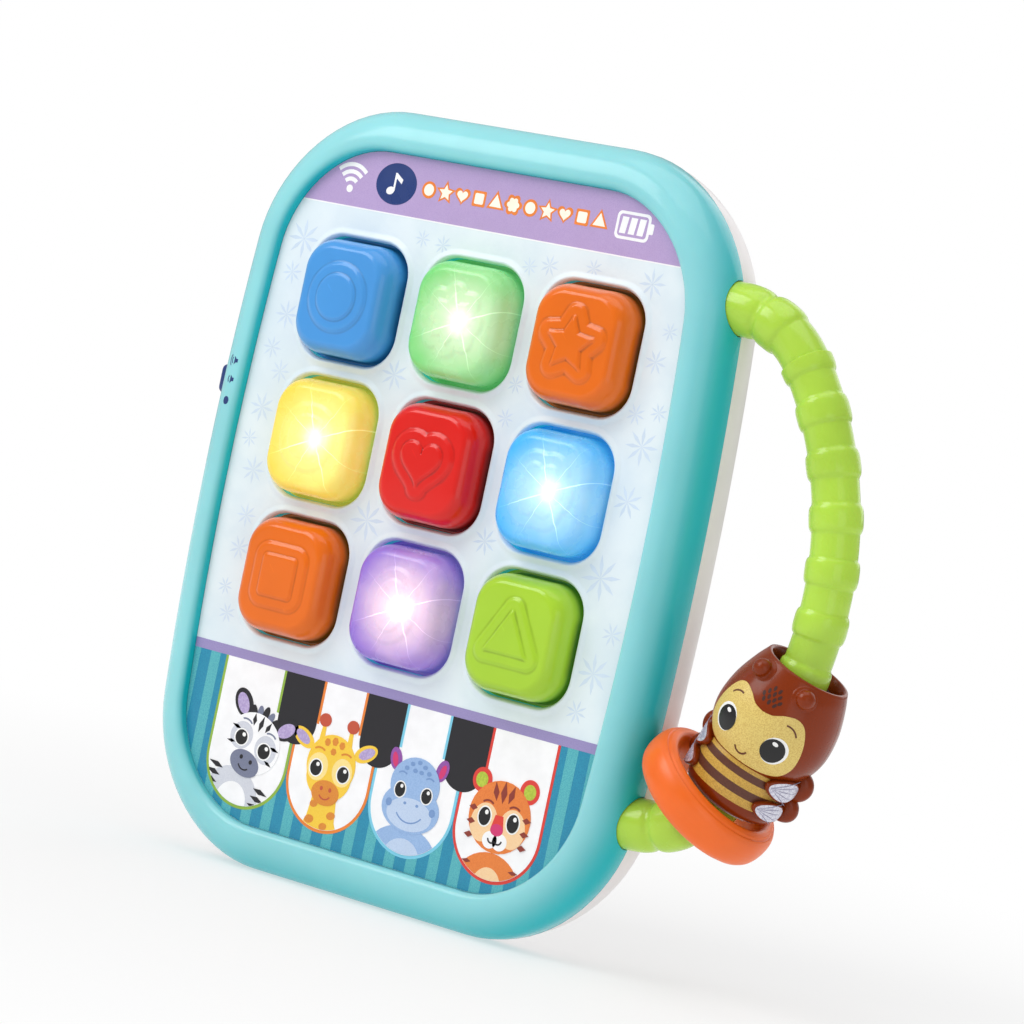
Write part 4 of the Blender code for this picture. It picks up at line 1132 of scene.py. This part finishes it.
def make_zebra(x):
    art = Portrait("picture_zebra", x, 1.18, 0.98, -15.0)
    art.add("grey_fur", oval(0, -12.5, 8.0, 9.0), 0, cut=True)
    art.add("white_ink", oval(0.5, -13.5, 4.5, 6.0), 1, cut=True)
    for side in (-1, 1):
        for n in range(3):
            strip = diamond(side * 9.5, -6.2 - 2.3 * n, 4.4, 1.5, 180 if side > 0 else 0)
            art.add("black_ink", strip, 2, cut=True)
        art.add("black_ink", oval(side * 7.0, 13.2, 2.7, 4.0, -side * 34), 1)
        art.add("lavender", oval(side * 7.1, 13.0, 1.7, 2.9, -side * 34), 2)
    for n in range(-2, 3):
        art.add("slate" if n % 2 else "black_ink", oval(n * 1.5, 13.4 - abs(n) * 0.7, 0.9, 2.6, -n * 12), 2)
    art.add("white_ink", oval(0, 4.6, 7.9, 8.6), 3)
    for side in (-1, 1):
        art.add("grey_fur", oval(side * 3.9, 4.9, 3.2, 4.0, side * 8), 4)
        art.add("black_ink", diamond(side * 7.6, 6.4, 2.9, 1.1, 180 if side > 0 else 0), 4)
        art.add("black_ink", diamond(side * 7.3, 1.6, 2.6, 1.0, 165 if side > 0 else 15), 4)
        art.add("black_ink", diamond(side * 2.6, 12.6, 3.6, 1.2, 270 - side * 12), 4)
        art.add("slate", arc_band(side * 3.9, 7.6, 2.2, 0.45, 50, 130), 5)
    art.add("black_ink", diamond(0, 13.2, 5.0, 1.3, 270), 4)
    art.add("slate", oval(0, -1.6, 4.4, 3.6), 5)
    for side in (-1, 1):
        art.add("black_ink", oval(side * 1.5, -0.4, 0.5, 0.65, count=12), 6)
    art.smile("black_ink", 0, -3.4, 1.7, 6)
    art.eyes(3.7, 4.4, 1.75)
    art.print.build()


def make_giraffe(x):
    art = Portrait("picture_giraffe", x, 1.13, 1.04)
    neck = [(-3.4, -3), (3.4, -3), (4.2, -10), (6.0, -14), (-6.0, -14), (-4.2, -10)]
    art.add("giraffe", neck, 0, cut=True)
    for a, b, size in ((-2.7, -6.4, 1.2), (2.9, -8.4, 1.3), (-3.2, -10.6, 1.4), (1.2, -11.6, 1.2)):
        art.add("spot", oval(a, b, size, size * 0.8, 20, 12), 1, cut=True)
    for side in (-1, 1):
        art.add("horn", oval(side * 4.2, 15.4, 1.75, 1.75), 2)
        art.add("giraffe", [(side * 3.4, 9.5), (side * 5.0, 9.5), (side * 4.6, 14.2), (side * 3.6, 14.2)], 1)
        art.add("giraffe", oval(side * 9.4, 9.6, 3.6, 2.1, side * 32), 1)
        art.add("lavender", oval(side * 9.7, 9.7, 2.5, 1.3, side * 32), 2)
    art.add("giraffe", oval(0, 4.4, 7.2, 7.9), 3)
    art.add("giraffe", oval(0, 1.4, 6.6, 6.4), 3.4)
    for side in (-1, 1):
        art.add("giraffe_pale", oval(side * 3.7, 3.2, 3.0, 3.7, side * 6), 4)
        art.add("spot", arc_band(side * 4.0, 5.9, 2.3, 0.5, 50, 130), 5)
        art.add("spot", oval(side * 2.2, 10.0, 0.9, 1.1, count=6), 4)
    art.add("spot", oval(0, 10.6, 0.95, 1.2, count=6), 4)
    art.add("spot", oval(0, 7.9, 0.9, 1.0, count=6), 4)
    art.add("spot", oval(0, -3.0, 4.1, 3.3), 5)
    for side in (-1, 1):
        art.add("horn", oval(side * 1.3, -2.0, 0.45, 0.6, count=12), 6)
    art.smile("horn", 0, -4.7, 1.8, 6)
    art.eyes(4.1, 2.8, 1.7)
    art.print.build()


def make_hippo(x):
    art = Portrait("picture_hippo", x)
    art.add("hippo", oval(0, -14.0, 11.5, 8.5), 0, cut=True)
    art.add("hippo_pale", oval(0, -14.5, 6.0, 5.6), 1, cut=True)
    for side in (-1, 1):
        art.add("hippo_ear", oval(side * 7.7, 11.2, 1.9, 3.1, -side * 16), 1)
        art.add("pink", oval(side * 7.9, 11.0, 0.9, 2.0, -side * 16), 2)
    art.add("hippo", oval(0, 5.6, 8.0, 7.4), 3)
    art.add("hippo", oval(0, -0.8, 9.4, 6.6), 3.4)
    art.add("hippo_pale", oval(0, -2.4, 7.4, 4.4), 4)
    for a, b in ((-2.0, 11.0), (0.2, 11.8), (2.2, 10.9), (-0.8, 9.4), (1.3, 9.3), (3.8, 9.5), (-3.6, 9.6)):
        art.add("hippo_dark", oval(a, b, 0.75, 0.6, count=12), 5)
    for side in (-1, 1):
        art.add("hippo_dark", oval(side * 7.2, -0.4, 1.0, 1.1, count=16), 5)
        art.add("hippo_dark", arc_band(side * 4.5, 6.4, 2.0, 0.4, 50, 130), 5)
        art.add("hippo_dark", oval(side * 2.0, 0.4, 0.5, 0.4, count=12), 5)
    art.smile("hippo_dark", 0, -4.6, 5.2, 5, 52)
    art.eyes(4.4, 3.6, 1.65)
    art.print.build()


def make_tiger(x):
    art = Portrait("picture_tiger", x, 1.06, 1.14)
    art.add("tiger", oval(0, -13.2, 9.6, 8.0), 0, cut=True)
    art.add("tiger_pale", oval(0, -13.6, 4.4, 5.0), 1, cut=True)
    for side in (-1, 1):
        for n in range(3):
            strip = diamond(side * 8.6, -8.4 - 2.0 * n, 2.9, 1.0, 180 if side > 0 else 0)
            art.add("tiger_dark", strip, 2, cut=True)
        art.add("red_ink", oval(side * 7.2, 10.6, 2.9, 2.9), 1)
        art.add("lime_ink", oval(side * 7.3, 10.6, 1.8, 1.8), 2)
    art.add("tiger", oval(0, 3.2, 9.2, 8.4), 3)
    for side in (-1, 1):
        art.add("tiger_pale", oval(side * 4.3, 1.2, 3.9, 4.6, side * 10), 4)
        for n in range(3):
            start = (side * 9.4, 4.0 - 3.2 * n)
            art.add("tiger_dark", diamond(*start, 2.6, 1.5, 180 if side > 0 else 0), 5)
        art.add("tiger_dark", arc_band(side * 4.0, 4.0, 2.4, 0.45, 50, 130), 5)
        art.add("tiger_dark", diamond(side * 2.9, 11.0, 4.4, 1.7, 270 - side * 14), 5)
        art.add("white_ink", oval(side * 1.5, -2.4, 2.2, 2.0), 5)
    art.add("tiger_dark", diamond(0, 11.6, 5.2, 1.9, 270), 5)
    art.add("red_ink", [(-1.2, 3.6), (1.2, 3.6), (1.9, 0.4), (-1.9, 0.4)], 5)
    art.add("pink", oval(0, 0.2, 1.9, 1.4), 6)
    for side in (-1, 1):
        art.smile("black_ink", side * 1.0, -3.0, 1.05, 7, 85)
    art.eyes(4.3, 2.6, 1.75, 6)
    art.print.build()


# ---------------------------------------------------------------- caps

CAP_FINISHES = ["blue", "green", "orange", "yellow", "red", "sky", "orange", "violet", "lime"]
CAP_SIGNS = [
    oval(0, 0, 6.3, 6.3, count=64),
    star(0, 0, 7.0, 5.0, 8),
    star(0, 0, 7.6, 3.9),
    round_box(0, 0, 6.0, 6.0, 5.0, 4),
    heart(0, -0.4, 6.6),
    flower(0, 0, 7.0),
    round_box(0, 0, 5.7, 5.7, 1.2, 5),
    oval(0, 0, 5.2, 7.0, 0, 48),
    star(0, -1.0, 7.8, 3.9, 3),
]


def distance_to(outline, points):
    """Signed distance from each point to an outline: negative inside it."""
    a = np.array(outline, float)
    b = np.roll(a, -1, axis=0)
    offset = points[:, None, :] - a[None]
    run = (b - a)[None]
    share = np.clip((offset * run).sum(2) / (run * run).sum(2), 0, 1)
    reach = np.linalg.norm(offset - run * share[..., None], axis=2).min(1)
    above = (a[None, :, 1] > points[:, None, 1]) != (b[None, :, 1] > points[:, None, 1])
    climb = np.where(b[:, 1] == a[:, 1], 1e-9, (b - a)[:, 1])
    crossing = a[:, 0] + (points[:, 1:2] - a[:, 1]) * (b - a)[:, 0] / climb
    within = (above & (points[:, :1] < crossing)).sum(1) % 2 == 1
    return np.where(within, -reach, reach)


def step_up(distance, at, ramp):
    t = np.clip((at - distance) / ramp + 0.5, 0, 1)
    return t * t * (3 - 2 * t)


def make_caps():
    for number, ((x, z), colour, sign) in enumerate(zip(CAP_CENTRES, CAP_FINISHES, CAP_SIGNS), 1):
        make_cap(number, x, z, colour + "_rubber", sign)


def make_cap(number, x, z, colour, sign):
    """A soft square cap: a pillow with a two-step raised sign, on a flange with a round hollow foot."""
    step = CAP_SHOULDER_Y - CAP_FRONT_Y

    def pillow(half_w, half_h, radius):
        return np.array(round_box(0, 0, half_w, half_h, radius, 20, 14))

    top = pillow(*CAP_TOP_HALF, 6.5)
    rings = []
    rows = 46
    for n in range(1, rows + 1):
        flat = top * (n / rows)
        away = distance_to(sign, flat)
        lift = 0.5 * step_up(away, SIGN_SPREAD, 1.4 * SIGN_RAMP) + 0.42 * step_up(away, 0.0, SIGN_RAMP)
        lift += 0.08 * (1 - (n / rows) ** 2)
        rings.append([(x + a, CAP_SHOULDER_Y - step * up, z + b) for (a, b), up in zip(flat, lift)])
    for n in range(1, 17):
        t = math.radians(90 * n / 16)
        half = [c + (d - c) * math.sin(t) ** 1.1 for c, d in zip(CAP_TOP_HALF, CAP_HALF)]
        y = CAP_SHOULDER_Y + (CAP_WAIST_Y - CAP_SHOULDER_Y) * (1 - math.cos(t))
        rings.append([(x + a, y, z + b) for a, b in pillow(*half, 6.5 + 2.1 * math.sin(t))])
    for half, radius, y in (
        (CAP_HALF, 8.6, FLANGE_Y - 0.6),
        ((CAP_HALF[0] + 0.5, CAP_HALF[1] + 0.5), 9.1, FLANGE_Y),
        (FLANGE_HALF, 9.6, FLANGE_Y),
        (FLANGE_HALF, 9.6, FLANGE_BACK_Y),
    ):
        rings.append([(x + a, y, z + b) for a, b in pillow(*half, radius)])
    heading = [math.atan2(b, a) for a, b in top]
    for radius, y in (
        (FOOT_R, FLANGE_BACK_Y),
        (FOOT_R, CAP_FOOT_Y),
        (FOOT_BORE_R, CAP_FOOT_Y),
        (FOOT_BORE_R, CAP_BORE_Y),
    ):
        rings.append([(x + radius * math.cos(t), y, z + radius * math.sin(t)) for t in heading])
    node = f"button_cap_{number}"
    piece(f"cap_{number}", [(*loft(rings), 0)], [colour], frame_body(node), colour, [node])


def frame_body(node):
    """The body that a CAD node rides on."""
    bodies = frame["record"]["behaviour"]["bodies"]
    return next(body for body, nodes in bodies.items() if node in nodes)


# ---------------------------------------------------------------- handle and ring


def on_arc(angle, shift=0.0):
    """Frame at an angle on the handle's arc, in mm: local Z along the bar, X outward, Y world Y."""
    turn = math.radians(angle)
    outward = Vector((math.cos(turn), 0, math.sin(turn)))
    along = Vector((-math.sin(turn), 0, math.cos(turn)))
    turned_frame = Matrix((outward, (0, 1, 0), along)).transposed().to_4x4()
    return Matrix.Translation(ARC_CENTRE + outward * (ARC_R - shift)) @ turned_frame


def bead_swell(away, half=3.5):
    """How far a bead rises at a distance from its middle: a short barrel with a crisp shoulder."""
    t = abs(away) / half
    return 0.0 if t >= 1 else (1 - t**3.2) ** 0.55


def make_handle():
    """Half of the bar from its middle upward as (x, z, heading, radius), mirrored for the lower half."""
    half = []
    pitch = ARC_R * math.radians(BEAD_STEP)
    length = ARC_R * math.radians(ARC_END)
    count = round(length / 0.45)
    for n in range(count + 1):
        run = length * n / count
        away = (run % pitch) - pitch / 2
        angle = run / ARC_R
        radius = NECK_R + (BEAD_R - NECK_R) * bead_swell(away)
        half.append((ARC_CENTRE.x + ARC_R * math.cos(angle), ARC_R * math.sin(angle), angle, radius))
    end = math.radians(ARC_END)
    elbow_x, elbow_z = ARC_CENTRE.x + (ARC_R - ELBOW_R) * math.cos(end), (ARC_R - ELBOW_R) * math.sin(end)
    turn_left = math.pi / 2 - end
    count = round(ELBOW_R * turn_left / 0.45)
    for n in range(1, count + 1):
        angle = end + turn_left * n / count
        away = (angle - end - turn_left * 0.52) * ELBOW_R
        swell = max(bead_swell(away, 3.9), bead_swell((math.pi / 2 - angle) * ELBOW_R, 6.8))
        radius = NECK_R + (BEAD_R - NECK_R) * swell
        half.append((elbow_x + ELBOW_R * math.cos(angle), elbow_z + ELBOW_R * math.sin(angle), angle, radius))
    top = half[-1][1]
    wall_x = CASE_HIGH.x - 2.0
    stub = (elbow_x - 0.6, wall_x - 3, box_mm("handle_rod")[0].x)
    for x in stub:
        half.append((x, top, math.pi / 2, BEAD_R))
    path = [(x, -z, -angle, radius) for x, z, angle, radius in reversed(half[1:])] + half
    rings = []
    for x, z, angle, radius in path:
        ring = []
        for n in range(56):
            t = math.tau * n / 56
            out, y = radius * math.cos(t), radius * math.sin(t)
            ring.append((x + out * math.cos(angle), y, ARC_CENTRE.z + z + out * math.sin(angle)))
        rings.append(ring)
    piece("handle_bar", [(*loft(rings), 0)], ["lime_rod"], "case", "lime_plastic", ["handle_rod"], sharp=50)


def make_ring():
    """A fat hoop with a crease near its rim on both faces."""
    side = [(RING_BORE_R, 0.0), (14.15, 2.4), (14.7, 4.3), (15.4, 5.4), (16.4, 5.8), (17.6, 5.3)]
    crease = [(17.9, 5.1), (18.1, 4.7), (18.35, 4.6), (18.55, 4.7)]
    rim = smooth_curve([(18.8, 4.55), (19.6, 3.4), (20.05, 1.8), (RING_R, 0.0)], 6)
    upper = smooth_curve(side, 7) + crease + rim
    profile = upper + [(r, -h) for r, h in reversed(upper[1:-1])]
    shape = turned(profile, on_arc(RING_AT, RING_SHIFT), 128)
    piece("ring_hoop", [(*shape, 0)], ["ring_orange"], "ring", "orange_plastic", ["ring"], sharp=50)


# ---------------------------------------------------------------- bee

BEE_PLACE = on_arc(BEE_AT, BEE_SHIFT) @ Matrix.Rotation(math.radians(BEE_TURN), 4, "Z")
HOOD_CURVE = smooth_curve(HOOD_R, 7)


def hood_radius(height):
    heights = [h for r, h in reversed(HOOD_CURVE)]
    radii = [r for r, h in reversed(HOOD_CURVE)]
    return float(np.interp(height, heights, radii))


def on_hood(u, v, w):
    """A point on the hood: u runs round it from the middle of the face, v along its axis."""
    radius = hood_radius(v) + w
    angle = u / 14.8
    return tuple(BEE_PLACE @ Vector((radius * math.sin(angle), -radius * math.cos(angle), v)))


def make_bee():
    make_hood()
    make_torso()
    make_face()
    make_antennae()
    make_wings()


def make_hood():
    """The head's hood in two halves that meet at the sides, open at the top around the bar."""
    outside = HOOD_CURVE + [(12.2, -8.0), (10.8, -8.2)]
    lining = [(9.9, -8.2), (9.9, 9.0), (10.1, 14.0), (10.35, BEE_TOP - 0.5), (10.6, BEE_TOP - 0.05)]
    rim = [(10.85, BEE_TOP + 0.1), (11.3, BEE_TOP + 0.1)]
    profile = outside + lining + rim
    for name, start, stands_for in (("bee_hood_front", -90, []), ("bee_hood_rear", 90, ["bee_rear_shell"])):
        shape = turned(profile, BEE_PLACE, 64, start + 0.25, start + 179.75)
        piece(name, [(*shape, 0)], ["bee_brown"], "bee", "bee_brown", stands_for, sharp=50)


def make_torso():
    """The torso: a striped front half and a brown back half."""
    bands = [(-8.9, "bee_gold"), (-10.9, "bee_stripe"), (-13.1, "bee_gold"), (-15.4, "bee_stripe"),
             (-17.6, "bee_gold"), (BEE_FOOT - 1, "bee_brown")]
    heights = [-7.9, -8.9, -9.9, -10.9, -12.0, -13.1, -14.2, -15.4, -16.5, -17.6, -18.8, -19.8, -20.8]
    heights.append(BEE_FOOT)
    radii = [12.3, 12.6] + [TORSO_R] * 9 + [12.45, 11.7, 10.8]
    profile = list(zip(radii, heights)) + [(9.4, BEE_FOOT), (9.4, heights[0])]
    names = ["bee_gold", "bee_stripe", "bee_brown"]
    points, faces = turned(profile, BEE_PLACE, 64, -89.75, 89.75)
    size = len(profile)
    slots = []
    for polygon in faces:
        rows = sorted({n % size for n in polygon})
        if len(polygon) > 4 or rows[1] - rows[0] > 1 or rows[1] >= len(heights):
            slots.append(2)
            continue
        middle = (heights[rows[0]] + heights[rows[1]]) / 2
        slots.append(names.index(next(colour for low, colour in bands if middle > low)))
    shape = (points, faces, slots)
    piece("bee_torso_front", [shape], names, "bee", "bee_yellow", ["bee_front_shell"], sharp=50)
    back = turned(profile, BEE_PLACE, 64, 90.25, 269.75)
    piece("bee_torso_back", [(*back, 0)], ["bee_brown"], "bee", "bee_brown", sharp=50)


def face_outline():
    """A heart-like face: two brows, a dip between them, full cheeks and a flat chin."""
    right = [(0.0, 7.2), (2.6, 7.7), (5.2, 9.2), (8.4, 10.0), (11.0, 8.9), (12.8, 5.6), (13.9, 1.2),
             (14.2, -2.8), (12.9, -5.8), (9.2, -7.0), (4.5, -7.35), (0.0, -7.4)]
    curve = smooth_curve(right, 5)
    return curve + [(-u, v) for u, v in reversed(curve[1:-1])]


def make_face():
    face = Print("bee_face_print", "bee", "bee_yellow", on_hood, 1.6)
    face.add("bee_face", face_outline(), 6)
    for side in (-1, 1):
        face.add("eye_white", oval(side * 7.15 + side * 0.35, 0.15, 3.35, 3.75), 8)
        face.add("eye_black", oval(side * 7.1, 0.0, 3.0, 3.3), 10)
        face.add("eye_white", oval(side * 7.1 - 0.3, 2.0, 0.75, 0.5, -10, 16), 12)
        face.add("bee_line", arc_band(side * 7.4, 4.4, 3.2, 0.42, *((28, 100) if side > 0 else (80, 152))), 8)
    face.add("bee_line", arc_band(0.2, -3.6, 1.9, 0.5, 200, 340), 8)
    # painted shade: the forehead's dimples are dark brown ovals standing for the shade in shallow pits
    for row, count in ((13.4, 2), (12.2, 3), (11.0, 4), (9.9, 3)):
        for n in range(count):
            u = (n - (count - 1) / 2) * 1.7
            face.add("bee_dimple", oval(u, row, 0.42, 0.68, -u * 14, 14), 1)
    face.build()


def make_antennae():
    """Two round knobs on the forehead, each with a thin skirt that meets the hood."""
    shapes = []
    profile = smooth_curve([(0.05, 3.5), (1.4, 3.1), (2.3, 2.1), (2.45, 1.2), (2.35, 0.7)], 5)
    profile += smooth_curve([(2.45, 0.4), (2.8, 0.15), (3.3, -0.1), (3.6, -0.5)], 4) + [(0.05, -0.5)]
    for side in (-1, 1):
        base = Vector(on_hood(side * 7.6, 14.9, -0.1))
        outward = (Vector(on_hood(side * 7.6, 14.9, 1.0)) - base).normalized()
        lean = (outward + (BEE_PLACE.to_3x3() @ Vector((0, 0, 0.35)))).normalized()
        place = Matrix.Translation(base) @ lean.to_track_quat("Z", "Y").to_matrix().to_4x4()
        shapes.append((*turned(profile, place, 40), 0))
    piece("bee_antennae", shapes, ["bee_brown"], "bee", "bee_brown", sharp=60)


# Wing lobes are (height, half width, half height, tilt), and the petals in front of them are
# (height, half height, start, end), with their ends as angles round the torso from its front
LOBES = [(-8.0, 4.7, 4.4, 8.0), (-14.6, 4.6, 3.9, -14.0)]
PETALS = [(-9.2, 3.6, 44.0, 93.0), (-15.7, 3.2, 44.0, 88.0)]
WING_X, WING_Y, WING_HALF_T, PETAL_R = 12.7, 2.75, 2.5, 13.9
PETAL_STEP = math.radians(PETAL_R)


def make_wings():
    """Two rounded lobes a side, and in front of each a petal with a veined silver film."""
    for side, word in ((-1, "left"), (1, "right")):
        shapes = []
        films = Print(f"bee_wing_film_{word}", "bee", "bee_yellow", on_petal(side), 0.8)
        for height, half_w, half_h, tilt in LOBES:
            rings = []
            for n in range(15):
                t = math.pi * (n + 0.3) / 14.6
                share = math.sin(t) ** 0.6
                outline = oval(WING_X, height, half_w * share, half_h * share, tilt, 40)
                depth = WING_Y - WING_HALF_T * math.cos(t)
                rings.append([tuple(BEE_PLACE @ Vector((side * a, depth, b))) for a, b in outline])
            shapes.append((*loft(rings), 0))
        for height, half_h, start, end in PETALS:
            place = on_petal(side)
            middle, half_w = (start + end) / 2 * PETAL_STEP, (end - start) / 2 * PETAL_STEP
            rings = []
            for share, lift in ((0.92, -2.2), (1.0, -1.2), (1.0, -0.35), (0.97, -0.1), (0.9, 0.0)):
                outline = petal(middle, height, half_w * share, half_h * share)
                rings.append([place(u, v, lift) for u, v in outline])
            rings += [[place(middle + (u - middle) * k, height + (v - height) * k, 0.0) for u, v in outline]
                      for k in (0.66, 0.33, 0.05)]
            shapes.append((*loft(rings), 0))
            films.add("wing_foil", petal(middle, height, half_w * 0.86, half_h * 0.86), 2)
            root = middle - half_w * 0.8
            for n in range(-2, 3):
                films.add("wing_vein", diamond(root, height, half_w * 1.45, 0.26, n * 13), 4 + 0.3 * n)
        piece(f"bee_wings_{word}", shapes, ["bee_brown"], "bee", "bee_brown", sharp=60)
        films.build()


def petal(u, v, half_u, half_v):
    """A fan: narrow where it meets the torso's front, and widest near its round end."""
    points = []
    for n in range(44):
        angle = math.tau * n / 44
        reach = math.cos(angle)
        points.append((u + half_u * reach, v + half_v * math.sin(angle) * (0.86 + 0.14 * reach)))
    return points


def on_petal(side):
    """The wings' front surface: it hugs the torso at the front and lifts away toward the side."""

    def place(u, v, w):
        angle = u / PETAL_R
        radius = PETAL_R + w + 0.8 * math.sin(angle) ** 2
        return tuple(BEE_PLACE @ Vector((side * radius * math.sin(angle), -radius * math.cos(angle), v)))

    return place


# ---------------------------------------------------------------- pieces kept from the CAD

KEPT = {
    "board": ("main_circuit_board", "touch_board"),
    "copper": ("touch_pad",),
    "baffle": ("light_baffle",),
    "film": ("contact_sheet",),
    "lamp": ("led_",),
    "steel": ("speaker_frame", "speaker_magnet", "contact_spring", "contact_plate", "slide_switch"),
    "paper": ("speaker_cone",),
    "cell": ("battery_1", "battery_2"),
    "wire_red": ("battery_lead",),
    "wire_grey": ("touch_lead", "speaker_lead", "switch_lead"),
    "dark": ("bee_bush",),
}


def finish_kept_nodes():
    for name, obj in frame["nodes"].items():
        for look, starts in KEPT.items():
            if name.startswith(starts):
                obj.data.materials.clear()
                obj.data.materials.append(finish(look))


# ---------------------------------------------------------------- stage


def make_stage():
    """A pale floor that fades into a pale world."""
    world = bpy.data.worlds.new("studio")
    bpy.context.scene.world = world
    world.use_nodes = True
    tree = world.node_tree
    sky = tree.nodes["Background"]
    sky.inputs["Color"].default_value = (1.0, 1.0, 1.0, 1.0)
    paths = tree.nodes.new("ShaderNodeLightPath")
    strength = tree.nodes.new("ShaderNodeMix")
    tree.links.new(paths.outputs["Is Camera Ray"], strength.inputs[0])
    strength.inputs[2].default_value = WORLD_LIGHT
    strength.inputs[3].default_value = 1.0
    tree.links.new(strength.outputs[0], sky.inputs["Strength"])
    bm = bmesh.new()
    bmesh.ops.create_circle(bm, cap_ends=True, segments=96, radius=3.0)
    mesh = bpy.data.meshes.new("floor")
    bm.to_mesh(mesh)
    bm.free()
    floor = bpy.data.objects.new("floor", mesh)
    bpy.context.scene.collection.objects.link(floor)
    mesh.materials.append(floor_finish())


def floor_finish():
    look = Shader("floor_pale")
    look.set("Base Color", (0.9, 0.9, 0.9, 1))
    look.set("Roughness", 0.6)
    length = look.add("ShaderNodeVectorMath", operation="LENGTH")
    look.put(length.inputs[0], look.place)
    fade = look.spread(length.outputs["Value"], 0.06, 0.4, 0.55, 1.0)
    glow = look.add("ShaderNodeEmission")
    glow.inputs["Color"].default_value = (1, 1, 1, 1)
    blend = look.add("ShaderNodeMixShader")
    look.put(blend.inputs[0], fade)
    look.put(blend.inputs[1], look.main.outputs[0])
    look.put(blend.inputs[2], glow.outputs[0])
    look.put(look.tree.nodes["Material Output"].inputs["Surface"], blend.outputs[0])
    return look.material


def make_lights():
    middle = Vector((0, 0, 0.11))
    for name, place, size, power in LIGHTS:
        lamp = bpy.data.lights.new(name, "AREA")
        lamp.energy = power
        lamp.size = size
        obj = bpy.data.objects.new(name, lamp)
        obj.location = place
        obj.rotation_mode = "QUATERNION"
        obj.rotation_quaternion = (middle - Vector(place)).to_track_quat("-Z", "Y")
        bpy.context.scene.collection.objects.link(obj)


def make_camera():
    azimuth, elevation, roll = map(math.radians, (VIEW_AZIMUTH, VIEW_ELEVATION, VIEW_ROLL))
    level = math.cos(elevation)
    back = Vector((math.sin(azimuth) * level, -math.cos(azimuth) * level, math.sin(elevation)))
    right = (-back).cross(Vector((0, 0, 1))).normalized()
    up = right.cross(-back)
    across = right * math.cos(roll) + up * math.sin(roll)
    upward = up * math.cos(roll) - right * math.sin(roll)
    camera = bpy.data.objects.new("camera", bpy.data.cameras.new("camera"))
    camera.data.lens = VIEW_LENS
    camera.data.sensor_width = 36.0
    camera.data.clip_start = 0.05
    place = (Vector(VIEW_TARGET) + back * VIEW_DISTANCE) * MM
    camera.matrix_world = Matrix.Translation(place) @ Matrix((across, upward, back)).transposed().to_4x4()
    bpy.context.scene.collection.objects.link(camera)
    bpy.context.scene.camera = camera


bpy.context.scene.view_settings.view_transform = "Standard"
make_front()
make_rear()
make_screws()
make_knob()
make_volume_marks()
make_panel()
make_bands()
make_flakes()
make_icons()
make_keys()
make_caps()
make_handle()
make_ring()
make_bee()
finish_kept_nodes()
make_stage()
make_lights()
make_camera()
